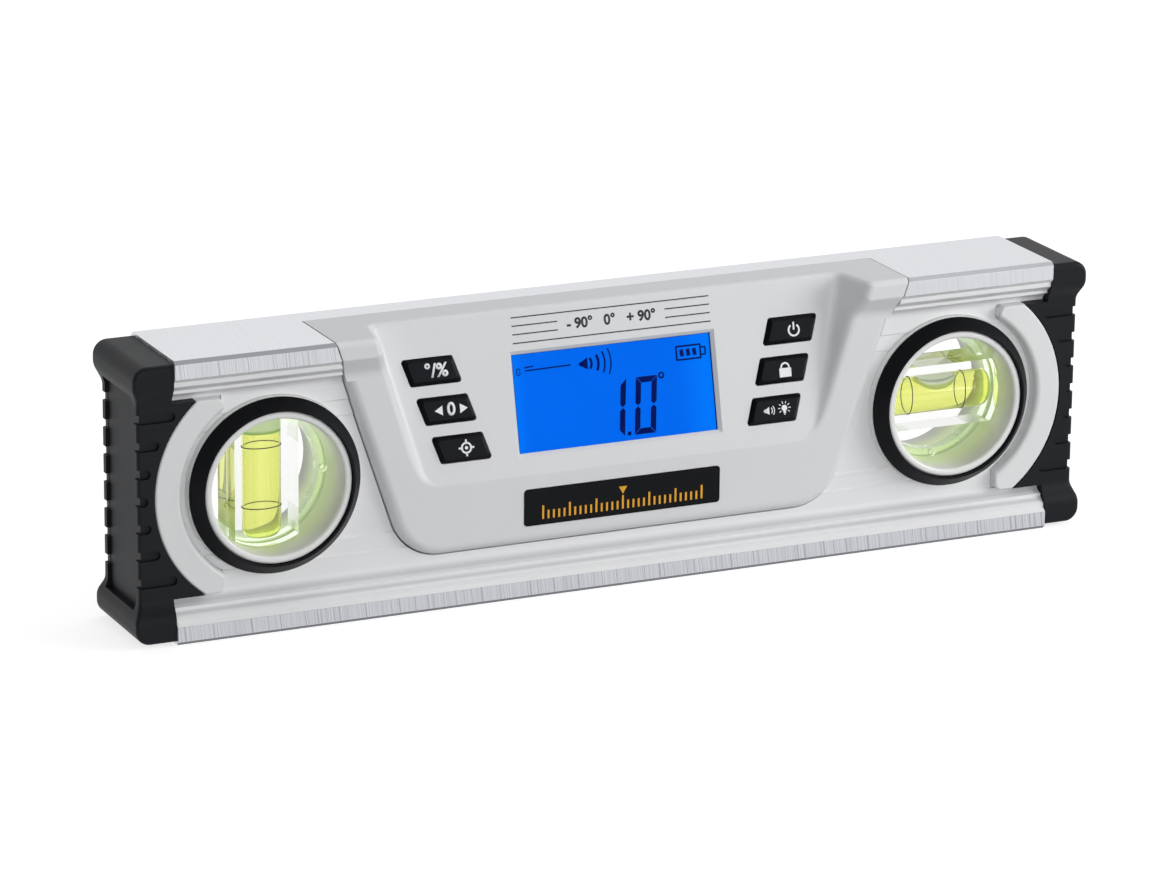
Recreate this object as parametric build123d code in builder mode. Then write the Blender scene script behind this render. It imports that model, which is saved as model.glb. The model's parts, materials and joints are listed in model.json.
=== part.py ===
from build123d import *
import os
from math import atan2, cos, radians, sin, sqrt, tan

os.makedirs("parts", exist_ok=True)

# Digital spirit level. X runs along the beam, the display faces -Y, +Z is up, and the origin is the
# middle of the lower measuring face. All sizes are in millimetres and degrees.

# Fits
fit_gap = 0.1  # between pieces that rest against each other
run_gap = 0.25  # round pieces that move
layer_gap = 0.05  # between the layers of the display
skin_gap = 0.02  # between a liquid and what it wets, or a key and its plunger

# Aluminium beam, a hollow section whose ribbed flanges step down to a thin web
beam_length = 230.0
beam_height = 68.6
beam_depth = 29.0
beam_edge = 0.85
strip_height = 4.4
rib_slope = 0.95
rib_inset = 1.0
rib_height = 1.05
second_slope = 1.35
second_inset = 1.7
second_height = 0.75
foot_slope = 0.5
foot_inset = 2.4
foot_height = 6.1
cove_radius = 2.8  # at the foot of the ribs
band_step = 0.4
band_height = 3.6
web_wall = 1.9
flange_wall = 3.5

# Vials, their sleeves and their rings
vial_end = 25.8  # from the beam's end to the vial's centre
vial_rise = 0.7  # above the middle of the beam
sleeve_bore = 16.6
sleeve_wall = 1.85
sleeve_lip = 0.6
sleeve_edge = 0.75
hub_radius = 19.55
hub_clearance = 0.2
flange_radius = 21.55
flange_thick = 2.0
ring_radius = 21.4
ring_rise = 3.5
ring_edge = 0.25
rim_thick = 3.0
rim_inner = 14.6
rim_outer = 19.4
block_width = 16.0
block_depth = 11.0
block_clearance = 0.2
bore_radius = 4.8
bore_length = 30.0
bore_round = 2.5  # at its closed end
plug_length = 1.6  # before its outer face is rounded with the block
line_place = 7.4
line_width = 0.24
line_depth = 0.16
bubble_radius = 4.5
level_bubble_length = 12.2
level_bubble_width = 7.6
level_bubble_depth = 3.2
plumb_bubble_depth = 3.3
bubble_skin = 0.1
bubble_edge = 0.9
knob_radius = 0.9
knob_place = 15.5

# End plugs with raised crescents, and rubber bumpers
crescent_inner = 23.5
crescent_outer = 30.15
crescent_rise = 3.4
crescent_start = 12.8  # outboard of the vial's centre
crescent_margin = 1.7  # beyond the foot of the ribs
crescent_end_radius = 1.85
crescent_edge = 0.6
crescent_roll = 1.4  # of the edge towards the vial
crescent_gap = 0.3  # between that edge and the beam
spigot_length = 9.0
spigot_wall = 2.0
bumper_length = 10.0
bumper_inset = 0.8  # below the measuring faces
bumper_side_inset = 0.5  # behind the flange faces
waist_inset = 2.0
end_waist_inset = 1.5
lip_band = 5.8
lip_slope = 3.5
lip_blend = 5.0
end_corner = 3.5
bumper_edge = 1.0
horn_overlap = 1.0
grip_count = 7
grip_pitch = 6.6
grip_height = 2.3
grip_depth = 0.8
grip_margin = 1.7
notch_depth = 0.7
end_recess_inset = 2.5
end_recess_margin = 7.7
end_recess_depth = 0.8

# Magnets in the lower flange
magnet_radius = 4.5
magnet_thick = 2.6
magnet_count = 3
magnet_spacing = 84.0
magnet_rows = 2
magnet_row_spacing = 15.0

# Display module
module_length = 149.8
module_height = 56.0
flank_angle = 18.7
module_corner = 12.5
module_gap = 0.35  # round the module in its notch
front_stand = 3.0  # of the front plane over the web
shell_wall = 2.0
lip_height = 17.2
panel_tilt = 13.28
shoulder_slope = 4.2
shoulder_blend = 4.0
recess_half = 51.4
recess_flare = 14.4
recess_corner = 7.5
recess_wall_angle = 15.0
recess_foot = 2.0
recess_drop = 1.5  # of the cutter below the crease
rim_radius = 2.0
block_edge = 1.0
top_edge = 1.5
flank_radius = 2.5
plate_thick = 1.6
post_radius = 3.0
post_upper = (66.0, 7.6)  # half spacing and distance below the top
post_lower = (60.5, 28.6)
label_length = 51.7
label_height = 9.05
label_thick = 0.6
label_sink = 0.4
label_corner = 0.8
label_rise = 4.6

# Display stack behind the panel
window_length = 52.5
window_height = 23.65
window_low = 5.27
window_ledge = 1.5
window_thick = 1.0
window_bevel = 0.8
window_bevel_angle = 45.0
lcd_length = 56.0
lcd_height = 27.2
lcd_thick = 1.8
backlight_thick = 2.75
frame_wall = 1.2
board_length = 114.0
board_height = 30.2
board_low = 2.0
board_thick = 1.2
boss_radius = 2.2
boss_lower = (53.0, 6.0)
boss_upper = (35.6, 28.5)
chip_size = 12.0
chip_thick = 1.2
sensor_size = 4.0
sensor_thick = 1.0
sensor_place = (-20.0, 10.0)
buzzer_radius = 6.0
buzzer_thick = 3.0
buzzer_place = (24.0, 14.0)

# Keys and the switches under them
key_length = 12.85
key_height = 6.17
key_corner = 0.5
key_lean = 17.6
key_base = 0.15  # where the sloping sides start
key_rise = 1.0
key_slope = 0.9  # how far the sides draw in
key_edge = 0.2
key_middle = (44.3, 17.95)
key_pitch = 9.45
key_drift = 0.317  # sideways per unit of height
key_travel = 0.6
key_flange = 0.68
key_flange_thick = 0.65
stem_radius = 1.8
stem_length = 0.6
plunger_radius = 1.6
plunger_length = 1.7
switch_size = 6.0
switch_height = 2.5

# Batteries, tray and door
battery_radius = 5.25
battery_length = 44.5
nub_radius = 1.9
nub_height = 0.8
battery_play = 0.35
contact_room = 4.8
contact_thick = 0.4
contact_width = 6.0
contact_rise = 4.3  # above the crease
leaf_return = 1.2
leaf_bend = 0.8
tray_wall = 1.2
tray_corner = 2.4
tray_floor_gap = 0.3
door_ledge = 1.0
door_clearance = 0.2
door_thick = 2.05
door_corner = 2.0
collar_wall = 1.4
seal_thick = 0.5
groove_count = 3
groove_pitch = 2.4
groove_width = 0.9
groove_length = 8.0
groove_depth = 0.5

# Screws
screw_radius = 1.25
screw_head_radius = 2.4
screw_head_height = 1.15
screw_length = 10.6
board_screw_radius = 1.0
board_screw_head = 2.0
board_screw_head_height = 1.3
board_screw_length = 4.6
drive_width = 0.6
drive_depth = 0.6

# Worked out from the sizes above
half_length = beam_length / 2
half_depth = beam_depth / 2
mid_height = beam_height / 2
rib_steps = (
    (strip_height - beam_edge, 0),
    (rib_slope, rib_inset),
    (rib_height, 0),
    (second_slope, second_inset),
    (second_height, 0),
    (foot_slope, foot_inset),
    (foot_height, 0),
    (band_step, band_step),
    (band_height, 0),
    (band_step, band_step),
)
quadrant = [(half_depth - beam_edge, 0), (half_depth, beam_edge)]
for rise, inset in rib_steps:
    last_y, last_z = quadrant[-1]
    quadrant.append((last_y - inset, last_z + rise))
web_half = quadrant[-1][0]
foot_half, foot_z = quadrant[-5]
cavity_half = web_half - web_wall

vial_x = half_length - vial_end
vial_z = mid_height + vial_rise
flange_face = web_half + flange_thick
ring_face = flange_face + ring_rise
sleeve_rim = sleeve_bore + sleeve_wall
sleeve_face = ring_face - sleeve_lip

module_half = module_length / 2
module_bottom = beam_height - module_height
module_front = web_half + front_stand
module_back = cavity_half - fit_gap
module_foot_half = module_half - module_height * tan(radians(flank_angle))
crease_z = module_bottom + lip_height
block_z = beam_height - strip_height
shoulder_z = block_z - shoulder_slope
slope_angle = atan2(half_depth - module_front, shoulder_slope)
blend_z = shoulder_z - shoulder_blend * tan(slope_angle / 2) - block_edge / 2
plate_face = module_back - plate_thick

# The sloping panel: local x runs along the beam, local y up the slope, and local z points outwards
panel = Plane(
    origin=(0, -module_front, crease_z),
    x_dir=(1, 0, 0),
    z_dir=(0, -cos(radians(panel_tilt)), sin(radians(panel_tilt))),
)
panel_height = (beam_height - crease_z) / cos(radians(panel_tilt))
window_middle = window_low + window_height / 2
window_face = shell_wall - window_thick
lcd_face = shell_wall + fit_gap
backlight_face = lcd_face + lcd_thick
board_face = backlight_face + backlight_thick
board_back = board_face + board_thick
board_middle = board_low + board_height / 2
key_flange_face = shell_wall + fit_gap
stem_face = key_flange_face + key_flange_thick + stem_length
boss_places = [(sign * x, s) for x, s in (boss_lower, boss_upper) for sign in (-1, 1)]
post_places = [(sign * x, beam_height - drop) for x, drop in (post_lower, post_upper) for sign in (-1, 1)]

tray_half_length = battery_length + contact_room
tray_half_height = battery_radius + battery_play
battery_z = module_bottom + shell_wall + 2 * fit_gap + tray_wall + tray_half_height
ledge_y = web_half - door_thick - seal_thick - fit_gap
battery_y = ledge_y - battery_play - battery_radius
tray_floor = battery_y - battery_radius - tray_floor_gap
opening_half_length = tray_half_length + door_ledge
opening_half_height = tray_half_height + door_ledge
collar_half_length = opening_half_length + collar_wall
collar_half_height = opening_half_height + collar_wall
contact_top = crease_z + contact_rise
plate_x = battery_length + fit_gap + contact_thick / 2
spring_x = contact_thick / 2 + 2 * fit_gap - tray_half_length

keys = {
    "unit": (-1, 1),
    "reference": (-1, 0),
    "calibrate": (-1, -1),
    "power": (1, 1),
    "hold": (1, 0),
    "sound_light": (1, -1),
}


def key_centre(side, row):
    """Place of a key on the panel; the columns lean outwards towards the top."""
    middle_x, middle_s = key_middle
    rise = row * key_pitch
    return side * (middle_x + rise * key_drift), middle_s + rise


def key_corners(side, row, grow):
    """Corners of a key's slanted outline on the panel, grown on every side."""
    x, s = key_centre(side, row)
    half_x = key_length / 2 + grow
    half_s = key_height / 2 + grow
    lean = side * half_s * tan(radians(key_lean))
    return (
        (x - half_x - lean, s - half_s),
        (x + half_x - lean, s - half_s),
        (x + half_x + lean, s + half_s),
        (x - half_x + lean, s + half_s),
    )


def save(piece, name):
    """Labels a finished piece and writes it out."""
    piece.part.label = name
    export_step(piece.part, f"parts/{name}.step")


def save_both_sides(piece, name):
    """Writes a piece of the right-hand end and its mirror image on the left."""
    save(piece, f"{name}_right")
    with BuildPart() as mirrored:
        mirror(piece.part, about=Plane.YZ)
    save(mirrored, f"{name}_left")


# Planes, axes and front outlines that several pieces share
vial_side = Plane((vial_x, 0, vial_z), x_dir=(1, 0, 0), z_dir=(0, 0, 1))
vial_axis = Axis((vial_x, 0, vial_z), (0, 1, 0))
with BuildSketch(Plane.XZ) as module_outline:
    Polygon(
        (-module_half, beam_height),
        (-module_foot_half, module_bottom),
        (module_foot_half, module_bottom),
        (module_half, beam_height),
    )
    fillet(module_outline.vertices().group_by(Axis.Y)[0], module_corner)

crescent_span = beam_height - 2 * (foot_z + crescent_margin)
crescent_width = half_length + bumper_length - vial_x - crescent_start
with BuildSketch(Plane.XZ) as crescent_outline:
    with Locations((vial_x, vial_z)):
        Circle(crescent_outer)
        Circle(crescent_inner, mode=Mode.SUBTRACT)
    with Locations((vial_x + crescent_start, mid_height)):
        Rectangle(crescent_width, crescent_span, align=(Align.MIN, Align.CENTER), mode=Mode.INTERSECT)
    fillet(crescent_outline.vertices().group_by(Axis.X)[0], crescent_end_radius)

with BuildSketch(Plane.XZ) as horn_outline:
    with Locations((vial_x + crescent_start, mid_height)):
        Rectangle(
            half_length + horn_overlap - vial_x - crescent_start,
            crescent_span,
            align=(Align.MIN, Align.CENTER),
        )
    with Locations((vial_x, vial_z)):
        Circle(crescent_outer + fit_gap, mode=Mode.SUBTRACT)

# Beam
seat_start = vial_x + crescent_start - fit_gap
with BuildPart() as end_seats:
    with BuildSketch(Plane.XZ.offset(web_half)):
        with Locations((seat_start, mid_height)):
            Rectangle(
                half_length + horn_overlap - seat_start,
                crescent_span + 2 * fit_gap,
                align=(Align.MIN, Align.CENTER),
            )
        with Locations((vial_x, vial_z)):
            Circle(crescent_inner - crescent_gap, mode=Mode.SUBTRACT)
    extrude(amount=half_depth)
    mirror(about=Plane.XZ)
    mirror(about=Plane.YZ)

front_half_section = quadrant + [(y, beam_height - z) for y, z in reversed(quadrant)]
with BuildPart() as beam:
    with BuildSketch(Plane.YZ.offset(-half_length)) as beam_section:
        with BuildLine():
            Polyline(*front_half_section, *[(-y, z) for y, z in reversed(front_half_section)], close=True)
        make_face()
        web_corners = beam_section.vertices().filter_by(lambda corner: abs(corner.X) < foot_half + fit_gap)
        web_rows = web_corners.group_by(Axis.Y)
        fillet(web_rows[0] + web_rows[-1], cove_radius)
        with Locations((0, mid_height)):
            Rectangle(2 * cavity_half, beam_height - 2 * flange_wall, mode=Mode.SUBTRACT)
    extrude(amount=beam_length)
    with BuildSketch(Plane.XZ.offset(-cavity_half)):
        add(module_outline.sketch_local)
        offset(amount=module_gap, kind=Kind.INTERSECTION)
    extrude(amount=cavity_half + beam_depth, mode=Mode.SUBTRACT)
    add(end_seats.part, mode=Mode.SUBTRACT)
    with BuildSketch(Plane.XZ.offset(-half_depth)):
        with Locations((-vial_x, vial_z), (vial_x, vial_z)):
            Circle(hub_radius + hub_clearance)
    extrude(amount=beam_depth, mode=Mode.SUBTRACT)
    for face in (Plane.XZ.offset(web_half), Plane.ZX.offset(web_half)):
        with BuildSketch(face):
            places = [face.to_local_coords(Vector(sign * vial_x, 0, vial_z)) for sign in (-1, 1)]
            with Locations(*[(place.X, place.Y) for place in places]):
                Circle(flange_radius + fit_gap)
        extrude(amount=half_depth, mode=Mode.SUBTRACT)
    with BuildSketch(Plane.XZ.offset(-web_half)):
        with Locations((0, battery_z)):
            RectangleRounded(
                2 * (collar_half_length + door_clearance),
                2 * (collar_half_height + door_clearance),
                door_corner + collar_wall,
            )
    extrude(amount=web_wall, mode=Mode.SUBTRACT)
    with BuildSketch(Plane.XZ.offset(-web_half)):
        with Locations(*post_places):
            Circle(screw_radius + fit_gap)
    extrude(amount=web_wall, mode=Mode.SUBTRACT)
    for x, z in post_places:
        with Locations(Location((x, web_half, z), (-90, 0, 0))):
            CounterSinkHole(screw_radius + fit_gap, screw_head_radius + fit_gap, web_wall)
    with BuildSketch(Plane.XY):
        with GridLocations(magnet_spacing, magnet_row_spacing, magnet_count, magnet_rows):
            Circle(magnet_radius + fit_gap)
    extrude(amount=magnet_thick + fit_gap, mode=Mode.SUBTRACT)
save(beam, "beam")

with BuildPart() as magnets:
    with BuildSketch(Plane.XY):
        with GridLocations(magnet_spacing, magnet_row_spacing, magnet_count, magnet_rows):
            Circle(magnet_radius)
    extrude(amount=magnet_thick)
save(magnets, "magnets")

# End plugs: hollow spigot in the beam, with a crescent on the front and one on the back
with BuildPart() as end_plug:
    with BuildSketch(Plane.XZ.offset(web_half + fit_gap)):
        add(crescent_outline.sketch_local)
    extrude(amount=crescent_rise - fit_gap)
    fillet(end_plug.faces().sort_by(Axis.Y)[0].edges(), crescent_edge)
    with BuildSketch(vial_side) as rolled_section:
        Polygon(
            (crescent_inner, -web_half),
            (crescent_outer + crescent_roll, -web_half),
            (crescent_outer + crescent_roll, -web_half - crescent_rise),
            (crescent_inner, -web_half - crescent_rise),
        )
        fillet(rolled_section.vertices().group_by(Axis.Y)[0].sort_by(Axis.X)[0], crescent_roll)
    revolve(axis=vial_axis, mode=Mode.INTERSECT)
    mirror(about=Plane.XZ)
    with BuildSketch(Plane.XZ.offset(-web_half - fit_gap)):
        with Locations((vial_x, vial_z)):
            Circle(crescent_outer)
        with Locations((half_length + fit_gap, vial_z)):
            Rectangle(
                bumper_length, 2 * crescent_outer, align=(Align.MIN, Align.CENTER), mode=Mode.INTERSECT
            )
    extrude(amount=2 * (web_half + fit_gap))
    with BuildSketch(Plane.YZ.offset(half_length + fit_gap)):
        with Locations((0, mid_height)):
            Rectangle(2 * (cavity_half - fit_gap), beam_height - 2 * (flange_wall + fit_gap))
    extrude(amount=-spigot_length)
    with BuildSketch(Plane.YZ.offset(half_length + fit_gap - spigot_wall)):
        with Locations((0, mid_height)):
            Rectangle(
                2 * (cavity_half - fit_gap - spigot_wall),
                beam_height - 2 * (flange_wall + fit_gap + spigot_wall),
            )
    extrude(amount=-spigot_length, mode=Mode.SUBTRACT)
    with BuildSketch(Plane.XZ.offset(-cavity_half)):
        with Locations((vial_x, vial_z)):
            Circle(hub_radius + run_gap)
    extrude(amount=2 * cavity_half, mode=Mode.SUBTRACT)
save_both_sides(end_plug, "end_plug")

# Bumpers: a waisted cap over the beam's end, with horns that lie along the web
bumper_half = half_depth - bumper_side_inset
waist_half = bumper_half - waist_inset
bumper_start = half_length + fit_gap
bumper_end = half_length + bumper_length
waist_end = bumper_end - end_waist_inset
bumper_top = mid_height - bumper_inset
lip_z = bumper_top - lip_band
waist_z = lip_z - lip_slope
grip_rows = [grip_pitch * (row - (grip_count - 1) / 2) for row in range(grip_count)]
grip_arc = crescent_outer + grip_margin
with BuildPart() as grip_cuts:
    with BuildSketch(Plane.XZ.offset(waist_half - grip_depth)):
        for row in grip_rows:
            grip_start = vial_x + sqrt(grip_arc**2 - row**2)
            with Locations((grip_start + grip_height / 2, vial_z + row)):
                Circle(grip_height / 2)
                Rectangle(bumper_length, grip_height, align=(Align.MIN, Align.CENTER))
    extrude(amount=half_depth)
    with BuildSketch(Plane.XZ.offset(waist_half - end_recess_inset)):
        for row in grip_rows:
            with Locations((waist_end - notch_depth, vial_z + row)):
                Rectangle(bumper_length, grip_height, align=(Align.MIN, Align.CENTER))
    extrude(amount=half_depth)
    mirror(about=Plane.XZ)

with BuildPart() as bumper:
    with BuildSketch(Plane.YZ.offset(bumper_start)) as bumper_end_view:
        with Locations((0, mid_height)):
            corner = [(bumper_half, bumper_top), (bumper_half, lip_z), (waist_half, waist_z)]
            right_edge = corner + [(y, -z) for y, z in reversed(corner)]
            Polygon(*right_edge, *[(-y, z) for y, z in reversed(right_edge)])
        fillet(bumper_end_view.vertices().sort_by(Axis.Y)[2:-2], lip_blend)
    extrude(amount=bumper_end - bumper_start)
    with BuildSketch(Plane.XZ.offset(-half_depth)) as bumper_side:
        with Locations((0, mid_height)):
            corner = [(bumper_start, bumper_top), (bumper_end, bumper_top)]
            corner += [(bumper_end, lip_z), (waist_end, waist_z)]
            Polygon(*corner, *[(x, -z) for x, z in reversed(corner)])
        fillet(bumper_side.vertices().sort_by(Axis.Y)[2:-2], lip_blend)
        end_vertices = bumper_side.vertices().group_by(Axis.X)[-1].sort_by(Axis.Y)
        fillet([end_vertices[0], end_vertices[-1]], end_corner)
    extrude(amount=beam_depth, mode=Mode.INTERSECT)
    end_edges = bumper.edges().filter_by(lambda edge: edge.center().X > waist_end - lip_band)
    fillet(end_edges.filter_by(lambda edge: abs(edge.center().Y) > waist_half / 2), bumper_edge)
    with BuildSketch(Plane.XZ.offset(web_half + fit_gap)):
        add(horn_outline.sketch_local)
    extrude(amount=waist_half - web_half - fit_gap)
    with BuildSketch(Plane.XZ.offset(-waist_half)):
        add(horn_outline.sketch_local)
    extrude(amount=waist_half - web_half - fit_gap)
    with BuildSketch(Plane.XZ.offset(-half_depth)):
        with Locations((vial_x, vial_z)):
            Circle(crescent_outer + fit_gap)
    extrude(amount=beam_depth, mode=Mode.SUBTRACT)
    add(grip_cuts.part, mode=Mode.SUBTRACT)
    with BuildSketch(Plane.YZ.offset(waist_end - end_recess_depth)):
        with Locations((0, mid_height)):
            Rectangle(2 * (waist_half - end_recess_inset), 2 * (bumper_top - end_recess_margin))
    extrude(amount=bumper_length, mode=Mode.SUBTRACT)
save_both_sides(bumper, "bumper")

# Vial mounts: a white sleeve from each face, with a black conical ring on its flange
sleeve_end = rim_thick / 2 + fit_gap
with BuildPart() as sleeve:
    with BuildSketch(vial_side) as sleeve_profile:
        Polygon(
            (sleeve_bore, -sleeve_end),
            (hub_radius, -sleeve_end),
            (hub_radius, -web_half - fit_gap),
            (flange_radius, -web_half - fit_gap),
            (flange_radius, -flange_face),
            (sleeve_rim, -flange_face),
            (sleeve_rim, -sleeve_face),
            (sleeve_bore, -sleeve_face),
        )
        fillet(sleeve_profile.vertices().group_by(Axis.Y)[0], sleeve_edge)
    revolve(axis=vial_axis)

with BuildPart() as ring:
    with BuildSketch(vial_side) as ring_profile:
        Polygon(
            (sleeve_rim + fit_gap, -flange_face - fit_gap),
            (sleeve_rim + fit_gap, -ring_face),
            (sleeve_rim + 2 * ring_edge, -ring_face),
            (ring_radius, -flange_face - 2 * ring_edge),
            (ring_radius, -flange_face - fit_gap),
        )
        fillet(ring_profile.vertices().group_by(Axis.Y)[0], ring_edge / 2)
    revolve(axis=vial_axis)

for piece, name in ((sleeve, "sleeve"), (ring, "ring")):
    save_both_sides(piece, f"{name}_front")
    with BuildPart() as rear_piece:
        mirror(piece.part, about=Plane.XZ)
    save_both_sides(rear_piece, f"{name}_rear")

# Vials: local z runs along the bore to its closed end, and local x through the beam
plumb_frame = Plane((-vial_x, 0, vial_z), x_dir=(0, 1, 0), z_dir=(0, 0, -1))
level_frame = Plane((vial_x, 0, vial_z), x_dir=(0, 1, 0), z_dir=(1, 0, 0))
block_radius = sleeve_bore - block_clearance


def level_bubble(grow):
    """Bubble against the top of the level bore, longer than it is deep, grown on every side."""
    top = vial_z + bubble_radius + grow
    with BuildPart() as bubble:
        with BuildSketch(Plane.XY.offset(top - level_bubble_depth - 2 * grow)):
            with Locations((vial_x, 0)):
                SlotOverall(level_bubble_length + 2 * grow, level_bubble_width + 2 * grow)
        extrude(amount=level_bubble_depth + 2 * grow)
        with BuildSketch(Plane.YZ):
            with Locations((0, vial_z)):
                Circle(bubble_radius + grow)
        extrude(amount=beam_length, mode=Mode.INTERSECT)
        fillet(bubble.edges().group_by(Axis.Z)[0], bubble_edge)
    return bubble


def plumb_bubble(grow):
    """Bubble at the top of the upright bore, grown on every side."""
    top = vial_z + bore_length / 2 - skin_gap - bubble_skin + grow
    with BuildPart() as bubble:
        with BuildSketch(Plane.XY.offset(top)):
            with Locations((-vial_x, 0)):
                Circle(bubble_radius + grow)
        extrude(amount=-plumb_bubble_depth - 2 * grow)
        fillet(bubble.edges().filter_by(GeomType.CIRCLE), bubble_edge)
    return bubble


def bore_shape(frame, inset, length):
    """Round bore from its closed end, drawn in on every side but the open one."""
    with BuildPart() as bore:
        with BuildSketch(frame.offset(bore_length / 2 - inset)):
            Circle(bore_radius - inset)
        extrude(amount=-length)
        closed_end = bore.faces().sort_by(Axis(frame.origin, frame.z_dir))[-1]
        fillet(closed_end.edges(), bore_round)
    return bore.part


for frame, bubble, name in ((plumb_frame, plumb_bubble, "left"), (level_frame, level_bubble, "right")):
    save(bubble(0), f"vial_bubble_{name}")
    across = Plane(frame.origin, x_dir=frame.z_dir, z_dir=frame.x_dir)

    with BuildPart() as vial_body:
        with BuildSketch(across.offset(-block_depth / 2)):
            Circle(block_radius)
            Rectangle(2 * block_radius, block_width, mode=Mode.INTERSECT)
        extrude(amount=block_depth)
        with BuildSketch(across.offset(-rim_thick / 2)):
            Circle(rim_outer)
            Circle(rim_inner, mode=Mode.SUBTRACT)
        extrude(amount=rim_thick)
        with BuildSketch(across):
            with Locations((0, -knob_place), (0, knob_place)):
                Circle(knob_radius)
        extrude(amount=rim_thick / 2 + knob_radius, both=True)
        add(bore_shape(frame, 0, bore_length + rim_outer), mode=Mode.SUBTRACT)
    save(vial_body, f"vial_body_{name}")

    with BuildPart() as vial_plug:
        with BuildSketch(frame.offset(-bore_length / 2)):
            Circle(bore_radius - skin_gap)
        extrude(amount=-plug_length)
        with BuildSketch(across.offset(-block_depth / 2)):
            Circle(block_radius)
        extrude(amount=block_depth, mode=Mode.INTERSECT)
    save(vial_plug, f"vial_plug_{name}")

    with BuildPart() as vial_lines:
        for place in (-line_place, line_place):
            with BuildSketch(frame.offset(place - line_width / 2)):
                Circle(bore_radius - skin_gap)
                Circle(bore_radius - line_depth, mode=Mode.SUBTRACT)
            extrude(amount=line_width)
    save(vial_lines, f"vial_lines_{name}")

    with BuildPart() as vial_liquid:
        add(bore_shape(frame, skin_gap, bore_length - 2 * skin_gap))
        for place in (-line_place, line_place):
            with BuildSketch(frame.offset(place - line_width / 2 - skin_gap)):
                Circle(bore_radius)
                Circle(bore_radius - line_depth - skin_gap, mode=Mode.SUBTRACT)
            extrude(amount=line_width + 2 * skin_gap, mode=Mode.SUBTRACT)
        add(bubble(bubble_skin / 2).part, mode=Mode.SUBTRACT)
    save(vial_liquid, f"vial_liquid_{name}")

# Display module: the recess in its front, cut back to the sloping panel between two shoulders
cutter_top = panel_height + half_depth
cutter_flare = recess_half + tan(radians(recess_flare)) * cutter_top
with BuildPart() as recess:
    with BuildSketch(panel) as recess_outline:
        Polygon(
            (-recess_half, -recess_drop),
            (recess_half, -recess_drop),
            (cutter_flare, cutter_top),
            (-cutter_flare, cutter_top),
        )
        fillet(recess_outline.vertices().group_by(Axis.Y)[0], recess_corner)
    extrude(amount=beam_depth, taper=-recess_wall_angle)
    fillet(recess.faces().filter_by(lambda face: face.normal_at() == -panel.z_dir).edges(), recess_foot)

# The hollow behind the panel, with the screw posts and the board's bosses left standing
with BuildPart() as hollow:
    with BuildSketch(Plane.XZ.offset(-module_back)):
        add(module_outline.sketch_local)
        offset(amount=-shell_wall, kind=Kind.INTERSECTION)
    extrude(amount=module_back + module_front - shell_wall)
    split(bisect_by=panel.offset(-shell_wall), keep=Keep.BOTTOM)
    with BuildSketch(Plane.XZ.offset(fit_gap - plate_face)):
        with Locations(*post_places):
            Circle(post_radius)
    extrude(amount=beam_depth, mode=Mode.SUBTRACT)
    with BuildSketch(panel.offset(-board_face)):
        with Locations(*boss_places):
            Circle(boss_radius)
    extrude(amount=board_face, mode=Mode.SUBTRACT)

with BuildPart() as front_housing:
    with BuildSketch(Plane.XZ.offset(-module_back)):
        add(module_outline.sketch_local)
    extrude(amount=module_back + module_front)
    front_edges = front_housing.faces().sort_by(Axis.Y)[0].edges()
    fillet(front_edges.sort_by(Axis.Z)[:-1], flank_radius)
    with BuildSketch(Plane.YZ) as block_profile:
        Polygon(
            (-half_depth, beam_height),
            (-half_depth, block_z),
            (-module_front, shoulder_z),
            (-module_front, blend_z),
            (flank_radius - module_front, blend_z),
            (flank_radius - module_front, beam_height),
        )
        fillet(block_profile.vertices().group_by(Axis.X)[0].sort_by(Axis.Y)[0], block_edge)
        fillet(block_profile.vertices().group_by(Axis.X)[-2].sort_by(Axis.Y)[-1], shoulder_blend)
    extrude(amount=module_half, both=True)
    with BuildSketch(Plane.XZ.offset(-module_back)):
        add(module_outline.sketch_local)
    extrude(amount=module_back + half_depth, mode=Mode.INTERSECT)
    add(recess.part, mode=Mode.SUBTRACT)
    recess_rim = front_housing.edges().filter_by(GeomType.BSPLINE)
    fillet(recess_rim.filter_by(lambda edge: (edge @ 0.5).Y < fit_gap - module_front), rim_radius)
    top_edges = front_housing.faces().sort_by(Axis.Z)[-1].edges().filter_by(Axis.Y, reverse=True)
    fillet(top_edges.sort_by(Axis.Y)[:-1], top_edge)
    add(hollow.part, mode=Mode.SUBTRACT)
    with BuildSketch(panel.offset(-window_face)):
        with Locations((0, window_middle)):
            Rectangle(window_length, window_height)
    extrude(amount=beam_depth, mode=Mode.SUBTRACT)
    with BuildSketch(panel.offset(-shell_wall)):
        with Locations((0, window_middle)):
            Rectangle(
                window_length + 2 * (window_ledge + fit_gap), window_height + 2 * (window_ledge + fit_gap)
            )
    extrude(amount=window_thick, mode=Mode.SUBTRACT)
    with BuildSketch(panel.offset(-window_bevel)):
        with Locations((0, window_middle)):
            Rectangle(window_length, window_height)
    extrude(amount=window_bevel, taper=-window_bevel_angle, mode=Mode.SUBTRACT)
    for side, row in keys.values():
        with BuildSketch(panel.offset(-shell_wall)) as key_opening:
            Polygon(*key_corners(side, row, run_gap))
            fillet(key_opening.vertices(), key_corner + run_gap)
        extrude(amount=shell_wall + key_rise, mode=Mode.SUBTRACT)
    with BuildSketch(Plane.XZ.offset(module_front - label_sink)):
        with Locations((0, module_bottom + label_rise + label_height / 2)):
            RectangleRounded(label_length + 2 * fit_gap, label_height + 2 * fit_gap, label_corner + fit_gap)
    extrude(amount=label_sink, mode=Mode.SUBTRACT)
    with BuildSketch(Plane.XZ.offset(-module_back)):
        with Locations(*post_places):
            Circle(screw_radius + fit_gap)
    extrude(amount=screw_length, mode=Mode.SUBTRACT)
    with BuildSketch(panel.offset(-board_face)):
        with Locations(*boss_places):
            Circle(board_screw_radius + fit_gap)
    extrude(amount=board_screw_length - board_thick + fit_gap, mode=Mode.SUBTRACT)
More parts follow.
